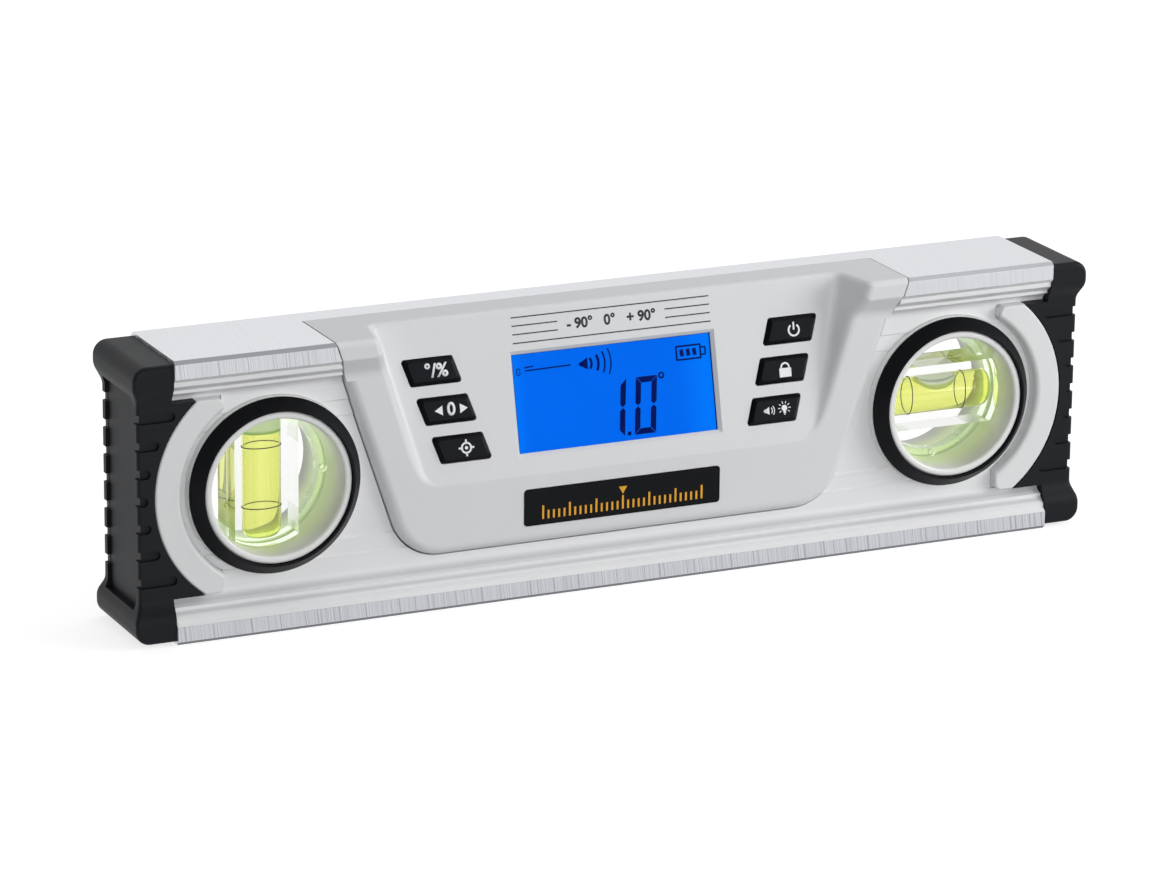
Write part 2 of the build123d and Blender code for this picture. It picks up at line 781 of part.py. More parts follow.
save(front_housing, "front_housing")

with BuildPart() as label_plate:
    with BuildSketch(Plane.XZ.offset(module_front - label_sink + fit_gap)):
        with Locations((0, module_bottom + label_rise + label_height / 2)):
            RectangleRounded(label_length, label_height, label_corner)
    extrude(amount=label_thick - fit_gap)
save(label_plate, "label_plate")

# Back of the module, with the battery tray and the collar that fills the window in the beam's web
tray_front = tray_floor - tray_wall
with BuildPart() as rear_housing:
    with BuildSketch(Plane.XZ.offset(-module_back)):
        add(module_outline.sketch_local)
        offset(amount=-shell_wall - fit_gap, kind=Kind.INTERSECTION)
    extrude(amount=plate_thick)
    with BuildSketch(Plane.XZ.offset(-module_back)):
        with Locations((0, battery_z)):
            RectangleRounded(
                2 * (tray_half_length + tray_wall), 2 * (tray_half_height + tray_wall), tray_corner
            )
    extrude(amount=module_back - tray_front)
    with BuildSketch(Plane.XZ.offset(-web_half)):
        with Locations((0, battery_z)):
            RectangleRounded(2 * collar_half_length, 2 * collar_half_height, door_corner + collar_wall)
    extrude(amount=web_half - module_back)
    with BuildSketch(Plane.XZ.offset(-web_half)):
        with Locations((0, battery_z)):
            Rectangle(2 * tray_half_length, 2 * tray_half_height)
    extrude(amount=web_half - tray_floor, mode=Mode.SUBTRACT)
    with BuildSketch(Plane.XZ.offset(-web_half)):
        with Locations((0, battery_z)):
            RectangleRounded(2 * opening_half_length, 2 * opening_half_height, door_corner)
    extrude(amount=web_half - ledge_y, mode=Mode.SUBTRACT)
    with BuildSketch(Plane.XZ.offset(-module_back)):
        with Locations(*post_places):
            Circle(screw_radius + fit_gap)
    extrude(amount=plate_thick, mode=Mode.SUBTRACT)
    with BuildSketch(Plane.XY.offset(battery_z + tray_half_height)):
        for x in (plate_x, spring_x):
            with Locations((x, battery_y)):
                Rectangle(contact_thick + 2 * run_gap, contact_width + 2 * run_gap)
    extrude(amount=tray_wall, mode=Mode.SUBTRACT)
save(rear_housing, "rear_housing")

with BuildPart() as door_seal:
    with BuildSketch(Plane.XZ.offset(-ledge_y - seal_thick)):
        with Locations((0, battery_z)):
            RectangleRounded(
                2 * (opening_half_length - door_clearance),
                2 * (opening_half_height - door_clearance),
                door_corner - door_clearance,
            )
            Rectangle(2 * tray_half_length, 2 * tray_half_height, mode=Mode.SUBTRACT)
    extrude(amount=seal_thick)
save(door_seal, "door_seal")

groove_x = opening_half_length - 2 * door_corner - groove_pitch
with BuildPart() as battery_door:
    with BuildSketch(Plane.XZ.offset(-web_half)):
        with Locations((0, battery_z)):
            RectangleRounded(
                2 * (opening_half_length - door_clearance),
                2 * (opening_half_height - door_clearance),
                door_corner - door_clearance,
            )
    extrude(amount=door_thick)
    with BuildSketch(Plane.XZ.offset(-web_half)):
        with Locations((groove_x, battery_z)):
            with GridLocations(groove_pitch, 0, groove_count, 1):
                SlotOverall(groove_length, groove_width, rotation=90)
    extrude(amount=groove_depth, mode=Mode.SUBTRACT)
save(battery_door, "battery_door")

# Two cells in line, and the contacts whose tabs reach up to the back of the board
for name, start in (("left", -battery_length), ("right", 0)):
    with BuildPart() as battery:
        with BuildSketch(Plane.YZ.offset(start)):
            with Locations((battery_y, battery_z)):
                Circle(battery_radius)
        extrude(amount=battery_length - nub_height)
        with BuildSketch(Plane.YZ.offset(start)):
            with Locations((battery_y, battery_z)):
                Circle(nub_radius)
        extrude(amount=battery_length)
    save(battery, f"battery_{name}")

tray_foot = battery_z - tray_half_height + 2 * fit_gap
with BuildPart() as contact_plate:
    with BuildSketch(Plane.YZ.offset(plate_x - contact_thick / 2)):
        with Locations((battery_y, tray_foot)):
            Rectangle(contact_width, contact_top - tray_foot, align=(Align.CENTER, Align.MIN))
    extrude(amount=contact_thick)
    split(bisect_by=panel.offset(-board_back - fit_gap), keep=Keep.BOTTOM)
save(contact_plate, "contact_plate")

leaf_tip = -battery_length - fit_gap - contact_thick / 2
with BuildPart() as contact_spring:
    with BuildSketch(Plane.XZ.offset(-battery_y - contact_width / 2)):
        with BuildLine():
            FilletPolyline(
                (spring_x, contact_top),
                (spring_x, tray_foot + contact_thick),
                (leaf_tip, battery_z),
                (spring_x + leaf_return, battery_z + tray_half_height / 2),
                radius=leaf_bend,
            )
        trace(line_width=contact_thick)
    extrude(amount=contact_width)
    split(bisect_by=panel.offset(-board_back - fit_gap), keep=Keep.BOTTOM)
save(contact_spring, "contact_spring")

# Display stack, each layer lying on the next
with BuildPart() as display_window:
    with BuildSketch(panel.offset(-shell_wall)):
        with Locations((0, window_middle)):
            Rectangle(window_length + 2 * window_ledge, window_height + 2 * window_ledge)
    extrude(amount=window_thick - layer_gap)
save(display_window, "display_window")

for name, back, thick in (
    ("lcd_panel", backlight_face, lcd_thick),
    ("backlight", board_face, backlight_thick),
):
    with BuildPart() as layer:
        with BuildSketch(panel.offset(-back)):
            with Locations((0, window_middle)):
                Rectangle(lcd_length, lcd_height)
        extrude(amount=thick - layer_gap)
    save(layer, name)

with BuildPart() as lcd_frame:
    with BuildSketch(panel.offset(-board_face)):
        with Locations((0, window_middle)):
            Rectangle(lcd_length + 2 * (frame_wall + fit_gap), lcd_height + 2 * (frame_wall + fit_gap))
            Rectangle(lcd_length + 2 * fit_gap, lcd_height + 2 * fit_gap, mode=Mode.SUBTRACT)
    extrude(amount=board_face - lcd_face)
save(lcd_frame, "lcd_frame")

# Board and what is soldered to it
with BuildPart() as circuit_board:
    with BuildSketch(panel.offset(-board_back)):
        with Locations((0, board_middle)):
            Rectangle(board_length, board_height)
        with Locations(*boss_places):
            Circle(board_screw_radius + fit_gap, mode=Mode.SUBTRACT)
    extrude(amount=board_thick)
save(circuit_board, "circuit_board")

with BuildPart() as controller_chip:
    with BuildSketch(panel.offset(-board_back)):
        with Locations((0, board_middle)):
            Rectangle(chip_size, chip_size)
    extrude(amount=-chip_thick)
save(controller_chip, "controller_chip")

with BuildPart() as tilt_sensor:
    with BuildSketch(panel.offset(-board_back)):
        with Locations(sensor_place):
            Rectangle(sensor_size, sensor_size)
    extrude(amount=-sensor_thick)
save(tilt_sensor, "tilt_sensor")

with BuildPart() as buzzer:
    with BuildSketch(panel.offset(-board_back)):
        with Locations(buzzer_place):
            Circle(buzzer_radius)
    extrude(amount=-buzzer_thick)
save(buzzer, "buzzer")

plunger_end = stem_face + plunger_length
with BuildPart() as switch_bodies:
    with BuildSketch(panel.offset(-board_face)):
        with Locations(*[key_centre(side, row) for side, row in keys.values()]):
            Rectangle(switch_size, switch_size)
    extrude(amount=switch_height)
    with BuildSketch(panel.offset(-plunger_end - key_travel - fit_gap)):
        with Locations(*[key_centre(side, row) for side, row in keys.values()]):
            Circle(plunger_radius + fit_gap)
    extrude(amount=switch_height, mode=Mode.SUBTRACT)
save(switch_bodies, "switch_bodies")

# Keys with the flange that holds them behind the panel, and the plungers that they push
for name, (side, row) in keys.items():
    with BuildPart() as key:
        with BuildSketch(panel.offset(-key_flange_face)) as cap_outline:
            Polygon(*key_corners(side, row, 0))
            fillet(cap_outline.vertices(), key_corner)
        extrude(amount=key_flange_face + key_base)
        for height, draw_in in ((key_base, 0), (key_rise, key_slope)):
            with BuildSketch(panel.offset(height)) as slope_outline:
                Polygon(*key_corners(side, row, -draw_in))
                fillet(slope_outline.vertices(), key_corner)
        loft(ruled=True)
        fillet(key.faces().sort_by(Axis(panel.origin, panel.z_dir))[-1].edges(), key_edge)
        with BuildSketch(panel.offset(-key_flange_face)) as flange_outline:
            Polygon(*key_corners(side, row, key_flange))
            fillet(flange_outline.vertices(), key_corner)
        extrude(amount=-key_flange_thick)
        with BuildSketch(panel.offset(-stem_face)):
            with Locations(key_centre(side, row)):
                Circle(stem_radius)
        extrude(amount=stem_length)
    save(key, f"button_{name}")

    with BuildPart() as plunger:
        with BuildSketch(panel.offset(-plunger_end)):
            with Locations(key_centre(side, row)):
                Circle(plunger_radius)
        extrude(amount=plunger_length - skin_gap)
    save(plunger, f"plunger_{name}")

# Screws with a cross recess: four through the web into the module, four that hold the board
with BuildPart() as module_screws:
    for x, z in post_places:
        seat = Plane((x, web_half - fit_gap, z), x_dir=(1, 0, 0), z_dir=(0, 1, 0))
        with BuildSketch(seat):
            Circle(screw_radius)
        extrude(amount=-screw_length)
        with BuildSketch(seat):
            Circle(screw_head_radius)
        with BuildSketch(seat.offset(-screw_head_height)):
            Circle(screw_radius)
        loft()
        with BuildSketch(seat):
            Rectangle(2 * screw_radius, drive_width)
            Rectangle(drive_width, 2 * screw_radius)
        extrude(amount=-drive_depth, mode=Mode.SUBTRACT)
save(module_screws, "module_screws")

with BuildPart() as board_screws:
    with BuildSketch(panel.offset(-board_back)):
        with Locations(*boss_places):
            Circle(board_screw_head)
    extrude(amount=-board_screw_head_height)
    with BuildSketch(panel.offset(-board_back)):
        with Locations(*boss_places):
            Circle(board_screw_radius)
    extrude(amount=board_screw_length)
    with BuildSketch(panel.offset(-board_back - board_screw_head_height)):
        with Locations(*boss_places):
            Rectangle(2 * board_screw_radius, drive_width)
            Rectangle(drive_width, 2 * board_screw_radius)
    extrude(amount=drive_depth, mode=Mode.SUBTRACT)
save(board_screws, "board_screws")
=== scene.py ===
import json
from math import acos, atan2, cos, pi, radians, sin, sqrt

import bmesh
import bpy
from mathutils import Matrix, Vector


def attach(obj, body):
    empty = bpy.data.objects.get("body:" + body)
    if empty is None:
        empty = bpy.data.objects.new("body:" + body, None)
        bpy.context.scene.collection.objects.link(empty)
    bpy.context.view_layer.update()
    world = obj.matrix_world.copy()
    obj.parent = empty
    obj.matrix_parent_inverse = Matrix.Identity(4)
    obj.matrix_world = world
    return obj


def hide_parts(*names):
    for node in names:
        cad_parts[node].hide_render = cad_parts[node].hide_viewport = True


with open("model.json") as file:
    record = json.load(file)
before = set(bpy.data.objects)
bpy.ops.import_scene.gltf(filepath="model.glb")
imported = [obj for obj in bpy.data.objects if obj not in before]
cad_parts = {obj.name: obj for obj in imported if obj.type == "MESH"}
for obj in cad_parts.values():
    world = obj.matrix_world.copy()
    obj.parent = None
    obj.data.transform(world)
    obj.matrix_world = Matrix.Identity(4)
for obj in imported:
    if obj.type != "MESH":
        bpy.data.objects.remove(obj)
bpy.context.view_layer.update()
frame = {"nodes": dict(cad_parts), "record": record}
nodes = frame["nodes"]
scene = bpy.context.scene
scene.view_settings.view_transform = "Standard"

MM = 0.001
SIDES = {"left": -1, "right": 1}

# Sizes of the solids that patterns and new pieces follow, in metres
MID_HEIGHT = 0.0343
HALF_DEPTH = 0.0145
BEAM_EDGE = 0.00085
VIAL_X = 0.0892
VIAL_Z = 0.035
SLEEVE_BORE = 0.0166
BLOCK_RADIUS = 0.0164
BLOCK_HALF = 0.008
CELL_LENGTH = 0.0445

# The sloping panel and the keys on it, in millimetres
PANEL_TILT = radians(13.28)
PANEL_Y = -11.6
PANEL_Z = 29.8
KEY_TOP = 1.0


# Node helpers


def feed(tree, socket, value):
    """Links an output to a socket, or sets a plain value on it."""
    if isinstance(value, bpy.types.NodeSocket):
        tree.links.new(value, socket)
    else:
        socket.default_value = value


def calc(tree, operation, *values):
    """One math node; returns its output."""
    made = tree.nodes.new("ShaderNodeMath")
    made.operation = operation
    for socket, value in zip(made.inputs, values):
        feed(tree, socket, value)
    return made.outputs[0]


def step(tree, value, low, high):
    """Smooth step from 0 at low to 1 at high."""
    made = tree.nodes.new("ShaderNodeMapRange")
    made.interpolation_type = "SMOOTHSTEP"
    feed(tree, made.inputs["Value"], value)
    made.inputs["From Min"].default_value = low
    made.inputs["From Max"].default_value = high
    return made.outputs["Result"]


def span(tree, value, low, high):
    """Spreads a 0 to 1 value over a range."""
    made = tree.nodes.new("ShaderNodeMapRange")
    feed(tree, made.inputs["Value"], value)
    made.inputs["To Min"].default_value = low
    made.inputs["To Max"].default_value = high
    return made.outputs["Result"]


def tint(tree, factor, first, second):
    """Mixes two colours."""
    made = tree.nodes.new("ShaderNodeMix")
    made.data_type = "RGBA"
    feed(tree, made.inputs["Factor"], factor)
    feed(tree, made.inputs["A"], first)
    feed(tree, made.inputs["B"], second)
    return made.outputs["Result"]


def between(tree, factor, first, second):
    """Mixes two values."""
    made = tree.nodes.new("ShaderNodeMix")
    feed(tree, made.inputs["Factor"], factor)
    feed(tree, made.inputs["A"], first)
    feed(tree, made.inputs["B"], second)
    return made.outputs["Result"]


def from_vial(tree, x, z):
    """Distances across and above the nearer vial's centre, and the distance from it."""
    across = calc(tree, "ABSOLUTE", calc(tree, "SUBTRACT", calc(tree, "ABSOLUTE", x), VIAL_X))
    up = calc(tree, "ABSOLUTE", calc(tree, "SUBTRACT", z, VIAL_Z))
    squares = calc(tree, "ADD", calc(tree, "POWER", across, 2.0), calc(tree, "POWER", up, 2.0))
    return across, up, calc(tree, "SQRT", squares)


def place(tree):
    """Object coordinates as a vector and as x, y and z."""
    coordinates = tree.nodes.new("ShaderNodeTexCoord").outputs["Object"]
    parts = tree.nodes.new("ShaderNodeSeparateXYZ")
    tree.links.new(coordinates, parts.inputs[0])
    return coordinates, parts.outputs["X"], parts.outputs["Y"], parts.outputs["Z"]


def stretched(tree, vector, scale):
    """Scales a vector by three factors."""
    made = tree.nodes.new("ShaderNodeMapping")
    tree.links.new(vector, made.inputs["Vector"])
    made.inputs["Scale"].default_value = scale
    return made.outputs["Vector"]


def noise(tree, vector, scale, detail=2.0):
    made = tree.nodes.new("ShaderNodeTexNoise")
    tree.links.new(vector, made.inputs["Vector"])
    feed(tree, made.inputs["Scale"], scale)
    made.inputs["Detail"].default_value = detail
    return made.outputs["Fac"]


def line_noise(tree, value, scale, detail=2.0):
    """Noise along one coordinate."""
    made = tree.nodes.new("ShaderNodeTexNoise")
    made.noise_dimensions = "1D"
    tree.links.new(value, made.inputs["W"])
    made.inputs["Scale"].default_value = scale
    made.inputs["Detail"].default_value = detail
    return made.outputs["Fac"]


def relief(tree, height, strength, distance):
    """Bump from a height; returns the normal."""
    made = tree.nodes.new("ShaderNodeBump")
    tree.links.new(height, made.inputs["Height"])
    made.inputs["Strength"].default_value = strength
    made.inputs["Distance"].default_value = distance
    return made.outputs["Normal"]


def surface(name, **values):
    """New material; the values go straight onto its Principled shader."""
    made = bpy.data.materials.new(name)
    made.use_nodes = True
    shader = made.node_tree.nodes["Principled BSDF"]
    for label, value in values.items():
        shader.inputs[label.replace("_", " ")].default_value = value
    return made, made.node_tree, shader


def effect_group(name, inputs, outputs):
    """Empty shader group with number sockets, and its input and output nodes."""
    group = bpy.data.node_groups.new(name, "ShaderNodeTree")
    for label, value in inputs.items():
        socket = group.interface.new_socket(label, in_out="INPUT", socket_type="NodeSocketFloat")
        socket.default_value = value
    for label in outputs:
        group.interface.new_socket(label, in_out="OUTPUT", socket_type="NodeSocketFloat")
    return group, group.nodes.new("NodeGroupInput"), group.nodes.new("NodeGroupOutput")


# Moulded grain: a fine pebble height, and broad soft patches where the gloss differs
grain, grain_in, grain_out = effect_group(
    "moulded_grain", {"Pebble": 2500.0, "Patch": 45.0}, ("Height", "Patches")
)
grain_place = place(grain)[0]
pebble = noise(grain, grain_place, grain_in.outputs["Pebble"], 3.0)
grain.links.new(pebble, grain_out.inputs["Height"])
grain.links.new(noise(grain, grain_place, grain_in.outputs["Patch"], 4.0), grain_out.inputs["Patches"])


def moulded(name, colour, roughness, pebble_scale, depth, shade=0.06, **values):
    """Moulded plastic or rubber: grain in the normal, patches in colour and gloss."""
    made, tree, shader = surface(name, **values)
    effect = tree.nodes.new("ShaderNodeGroup")
    effect.node_tree = grain
    effect.inputs["Pebble"].default_value = pebble_scale
    darker = [channel * (1 - shade) for channel in colour]
    lighter = [channel * (1 + shade) for channel in colour]
    patches = effect.outputs["Patches"]
    tree.links.new(tint(tree, patches, (*darker, 1), (*lighter, 1)), shader.inputs["Base Color"])
    tree.links.new(span(tree, patches, roughness - 0.06, roughness + 0.06), shader.inputs["Roughness"])
    tree.links.new(relief(tree, effect.outputs["Height"], depth, 0.00004), shader.inputs["Normal"])
    return made


# Finishes

housing_plastic = moulded("housing_plastic", (0.735, 0.745, 0.76), 0.42, 2600.0, 0.10, 0.015)
plug_plastic = moulded("plug_plastic", (0.78, 0.79, 0.795), 0.38, 2600.0, 0.10, 0.015)
bumper_rubber = moulded(
    "bumper_rubber", (0.0065, 0.0078, 0.0102), 0.46, 3600.0, 0.25, 0.15, Specular_IOR_Level=0.14
)
ring_black = moulded(
    "ring_black", (0.004, 0.0045, 0.006), 0.40, 3000.0, 0.30, 0.15, Specular_IOR_Level=0.10
)
key_black = moulded(
    "key_black", (0.0115, 0.013, 0.016), 0.36, 2600.0, 0.12, 0.10, Specular_IOR_Level=0.06
)

# Keys: painted shade makes the sloping sides much darker than the tops
tree = key_black.node_tree
shader = tree.nodes["Principled BSDF"]
_, _, y, z = place(tree)
over_panel = calc(
    tree,
    "ADD",
    calc(tree, "MULTIPLY", calc(tree, "SUBTRACT", y, PANEL_Y * MM), -cos(PANEL_TILT)),
    calc(tree, "MULTIPLY", calc(tree, "SUBTRACT", z, PANEL_Z * MM), sin(PANEL_TILT)),
)
key_top = shader.inputs["Base Color"].links[0].from_socket
top_only = step(tree, over_panel, (KEY_TOP - 0.2) * MM, (KEY_TOP - 0.02) * MM)
# Painted shade: below the top, the key takes a near-black colour
painted_side_shade = tint(tree, top_only, (0.0015, 0.0018, 0.0025, 1), key_top)
tree.links.new(painted_side_shade, shader.inputs["Base Color"])

label_black = moulded(
    "label_black", (0.005, 0.0056, 0.007), 0.30, 1800.0, 0.05, 0.10, Specular_IOR_Level=0.08
)
seal_rubber = moulded("seal_rubber", (0.03, 0.03, 0.03), 0.7, 3000.0, 0.2, 0.1)
backlight_white = moulded("backlight_white", (0.80, 0.81, 0.83), 0.5, 2000.0, 0.1, 0.02)
frame_white = moulded("frame_white", (0.72, 0.72, 0.72), 0.5, 2000.0, 0.1, 0.02)
chip_black = moulded("chip_black", (0.015, 0.015, 0.015), 0.55, 4000.0, 0.3, 0.1)
plunger_red = moulded("plunger_red", (0.35, 0.02, 0.02), 0.45, 3000.0, 0.1, 0.05)
line_ink = moulded("line_ink", (0.012, 0.016, 0.008), 0.5, 3000.0, 0.05, 0.1)
print_ink = moulded("print_ink", (0.012, 0.012, 0.013), 0.5, 3000.0, 0.05, 0.1)
symbol_white = moulded("symbol_white", (0.86, 0.87, 0.88), 0.5, 3000.0, 0.05, 0.02)
symbol_amber = moulded("symbol_amber", (0.80, 0.38, 0.015), 0.5, 3000.0, 0.05, 0.05)


def steel(name, colour, roughness):
    """Plated steel with fine drawing lines."""
    made, tree, shader = surface(name, Metallic=1.0)
    lines = noise(tree, stretched(tree, place(tree)[0], (300.0, 3000.0, 3000.0)), 1.0, 3.0)
    bright = [min(channel * 1.08, 1.0) for channel in colour]
    tree.links.new(tint(tree, lines, (*colour, 1), (*bright, 1)), shader.inputs["Base Color"])
    tree.links.new(span(tree, lines, roughness - 0.08, roughness + 0.08), shader.inputs["Roughness"])
    tree.links.new(relief(tree, lines, 0.1, 0.00002), shader.inputs["Normal"])
    return made


screw_steel = steel("screw_steel", (0.56, 0.56, 0.58), 0.30)
contact_steel = steel("contact_steel", (0.66, 0.65, 0.62), 0.25)
magnet_nickel = steel("magnet_nickel", (0.62, 0.61, 0.60), 0.18)

# Beam: white powder coat, with the measuring faces and the edge strips milled bare
FACE_START = MID_HEIGHT - BEAM_EDGE
CORNER = HALF_DEPTH + FACE_START
CUTTER_RADIUS = 0.045
beam_aluminium, tree, shader = surface("beam_aluminium")
where, x, y, z = place(tree)
out = calc(tree, "ABSOLUTE", y)
from_middle = calc(tree, "ABSOLUTE", calc(tree, "SUBTRACT", z, MID_HEIGHT))
bare_strip = step(tree, out, HALF_DEPTH - 0.00008, HALF_DEPTH - 0.00002)
bare_face = step(tree, from_middle, FACE_START - 0.00011, FACE_START - 0.00003)
bare = calc(tree, "MAXIMUM", bare_strip, bare_face)
chamfer = step(tree, calc(tree, "ADD", out, from_middle), CORNER - 0.00005, CORNER - 0.00001)
sweep = calc(tree, "SQRT", calc(tree, "SUBTRACT", CUTTER_RADIUS**2, calc(tree, "POWER", out, 2.0)))
leading = line_noise(tree, calc(tree, "ADD", x, sweep), 2500.0, 1.0)
trailing = line_noise(tree, calc(tree, "SUBTRACT", x, sweep), 2000.0, 1.0)
swirl = calc(tree, "MULTIPLY", calc(tree, "ADD", leading, trailing), 0.5)
slant = calc(tree, "ADD", x, calc(tree, "MULTIPLY", z, 0.12))
scratches = step(tree, line_noise(tree, slant, 1500.0, 4.0), 0.565, 0.685)
fine_lines = line_noise(tree, slant, 3600.0, 2.0)
brush = calc(tree, "SUBTRACT", fine_lines, calc(tree, "MULTIPLY", scratches, 0.45))
upper = step(tree, z, 0.030, 0.040)
# The milling marks on the upper strip fade to an even tone towards the right
fading = calc(tree, "MULTIPLY", step(tree, x, -0.06, 0.05), upper)
marks_faded_right = between(tree, calc(tree, "MULTIPLY", fading, 0.75), brush, 0.45)
cut_marks = between(tree, bare_face, marks_faded_right, swirl)
marks = span(tree, cut_marks, -0.3, 1.3)
upper_shade = tint(tree, marks, (0.41, 0.42, 0.44, 1), (0.63, 0.64, 0.66, 1))
# Painted shade: the lower strip is a little darker than the upper one, standing in for the dark floor
# that it reflects
lower_strip_painted_shade = tint(tree, marks, (0.36, 0.37, 0.395, 1), (0.62, 0.63, 0.655, 1))
strip_shade = tint(tree, upper, lower_strip_painted_shade, upper_shade)
face_shade = tint(tree, marks, (0.63, 0.64, 0.665, 1), (0.78, 0.79, 0.815, 1))
milled = tint(tree, bare_face, strip_shade, face_shade)
# Painted light and shade on the chamfers: the upper one lighter towards the right, the lower one dark
upper_chamfer_painted_light = tint(tree, step(tree, x, -0.08, 0.09), (0.36, 0.375, 0.40, 1), (0.56, 0.57, 0.59, 1))
chamfer_painted_shade = tint(tree, upper, (0.15, 0.155, 0.165, 1), upper_chamfer_painted_light)
metal = tint(tree, chamfer, milled, chamfer_painted_shade)
die_lines = noise(tree, stretched(tree, where, (25.0, 1400.0, 1400.0)), 1.0, 2.0)
peel = noise(tree, where, 1800.0, 2.0)
unshaded_coat = tint(tree, die_lines, (0.80, 0.805, 0.815, 1), (0.835, 0.84, 0.845, 1))
# Painted shade in the valleys between the ribs, stronger on the lower half
from_face = calc(tree, "SUBTRACT", MID_HEIGHT, from_middle)
grooves = 0.0
for low, deepest, high in ((0.0066, 0.0072, 0.0079), (0.0086, 0.0091, 0.0107)):
    falling = step(tree, from_face, low, deepest)
    rising = step(tree, from_face, high, deepest)
    grooves = calc(tree, "MAXIMUM", calc(tree, "MULTIPLY", falling, rising), grooves)
groove_painted_shade = calc(tree, "MULTIPLY", grooves, span(tree, upper, 0.85, 0.35))
coat = tint(tree, groove_painted_shade, unshaded_coat, (0.58, 0.59, 0.61, 1))
tree.links.new(tint(tree, bare, coat, metal), shader.inputs["Base Color"])
tree.links.new(bare, shader.inputs["Metallic"])
rough = between(tree, bare, span(tree, peel, 0.30, 0.42), span(tree, cut_marks, 0.26, 0.50))
tree.links.new(rough, shader.inputs["Roughness"])
coat_height = calc(tree, "ADD", die_lines, calc(tree, "MULTIPLY", peel, 0.35))
height = between(tree, bare, coat_height, cut_marks)
tree.links.new(relief(tree, height, 0.22, 0.00005), shader.inputs["Normal"])

# Sleeves: white; painted light from the liquid tints the wall that faces the vial green and makes it
# glow, most deep inside and towards the back
sleeve_white, tree, shader = surface("sleeve_white", Roughness=0.28, Emission_Strength=1.0)
where, x, y, z = place(tree)
radius = from_vial(tree, x, z)[2]
wall = step(tree, radius, 0.0170, SLEEVE_BORE)
deep = step(tree, calc(tree, "ABSOLUTE", y), 0.0125, 0.0040)
glow = calc(tree, "MULTIPLY", wall, calc(tree, "MULTIPLY", deep, 0.8))
lit_wall = tint(tree, glow, (0.83, 0.84, 0.83, 1), (0.58, 0.70, 0.28, 1))
tree.links.new(lit_wall, shader.inputs["Base Color"])
# Painted glow on that wall, stronger towards the back
gathered = calc(tree, "MULTIPLY", glow, span(tree, step(tree, y, 0.0, 0.002), 0.55, 1.0))
light = tint(tree, gathered, (0, 0, 0, 1), (0.36, 0.40, 0.27, 1))
tree.links.new(light, shader.inputs["Emission Color"])
tree.links.new(relief(tree, noise(tree, where, 900.0, 2.0), 0.03, 0.00005), shader.inputs["Normal"])

# Clear pieces: the acrylic's rim is painted green as light from the liquid, and its sawn sides are matt
# and painted a darker grey-green as a dark reflection; both glow with painted light
acrylic, tree, shader = surface("acrylic", Transmission_Weight=1.0, IOR=1.49, Emission_Strength=1.0)
where, x, _, z = place(tree)
across, up, radius = from_vial(tree, x, z)
rim = step(tree, radius, 0.0135, 0.0150)
narrow = calc(tree, "MINIMUM", across, up)
flat_side = step(tree, narrow, BLOCK_HALF - 0.00008, BLOCK_HALF - 0.00002)
sawn = calc(tree, "MULTIPLY", flat_side, step(tree, radius, SLEEVE_BORE, BLOCK_RADIUS))
cloud = noise(tree, where, 120.0, 2.0)
body_tint = tint(tree, cloud, (0.885, 0.90, 0.88, 1), (0.91, 0.92, 0.905, 1))
rim_painted_green = tint(tree, rim, body_tint, (0.80, 0.88, 0.70, 1))
tree.links.new(tint(tree, sawn, rim_painted_green, (0.78, 0.84, 0.78, 1)), shader.inputs["Base Color"])
tree.links.new(calc(tree, "MULTIPLY", sawn, 0.35), shader.inputs["Roughness"])
# Painted glow in the rim and on the sawn sides
gathered = calc(tree, "MAXIMUM", rim, sawn)
light = tint(tree, gathered, (0, 0, 0, 1), (0.065, 0.078, 0.045, 1))
tree.links.new(light, shader.inputs["Emission Color"])
tree.links.new(relief(tree, noise(tree, where, 260.0, 1.0), 0.04, 0.0001), shader.inputs["Normal"])

# Liquid: paler where the way through it is short
vial_liquid, tree, shader = surface("vial_liquid", Transmission_Weight=1.0, Roughness=0.0, IOR=1.42)
edge = tree.nodes.new("ShaderNodeLayerWeight")
edge.inputs["Blend"].default_value = 0.5
thin = step(tree, edge.outputs["Facing"], 0.45, 0.95)
body = tint(
    tree, noise(tree, place(tree)[0], 60.0, 1.0), (0.955, 0.975, 0.215, 1), (0.975, 0.995, 0.245, 1)
)
tree.links.new(tint(tree, thin, body, (0.94, 0.985, 0.62, 1)), shader.inputs["Base Color"])

# Bubbles: painted light and shade, a pale glowing inside over a painted dark green lower edge, with a
# painted grey streak across the level one; the level one, in millimetres, is deepest in its middle
BUBBLE_RADIUS = 4.83
BUBBLE_HALF = 5.3
BUBBLE_DEPTH = 3.3
BUBBLE_SAG = 0.3
vial_bubble, tree, shader = surface(
    "vial_bubble", Roughness=0.2, Specular_IOR_Level=0.2, Emission_Strength=0.35
)
_, x, _, z = place(tree)
upright = step(tree, x, 0.001, -0.001)
along = calc(tree, "MULTIPLY", calc(tree, "SUBTRACT", x, VIAL_X), 1 / (BUBBLE_HALF * MM))
inside = calc(tree, "SUBTRACT", 1.0, calc(tree, "POWER", along, 2.0))
fullness = calc(tree, "SQRT", calc(tree, "MAXIMUM", inside, 0.02))
under_top = calc(tree, "SUBTRACT", VIAL_Z + BUBBLE_RADIUS * MM, z)
low = calc(tree, "DIVIDE", calc(tree, "DIVIDE", under_top, BUBBLE_DEPTH * MM), fullness)
level_green = step(tree, low, 0.55, 0.80)
painted_streak = calc(tree, "MULTIPLY", step(tree, low, 0.26, 0.36), step(tree, low, 0.54, 0.44))
plumb_green = step(tree, z, 0.0468, 0.0458)
air = tint(tree, painted_streak, (0.70, 0.74, 0.58, 1), (0.42, 0.46, 0.35, 1))
level_tint = tint(tree, level_green, air, (0.46, 0.54, 0.13, 1))
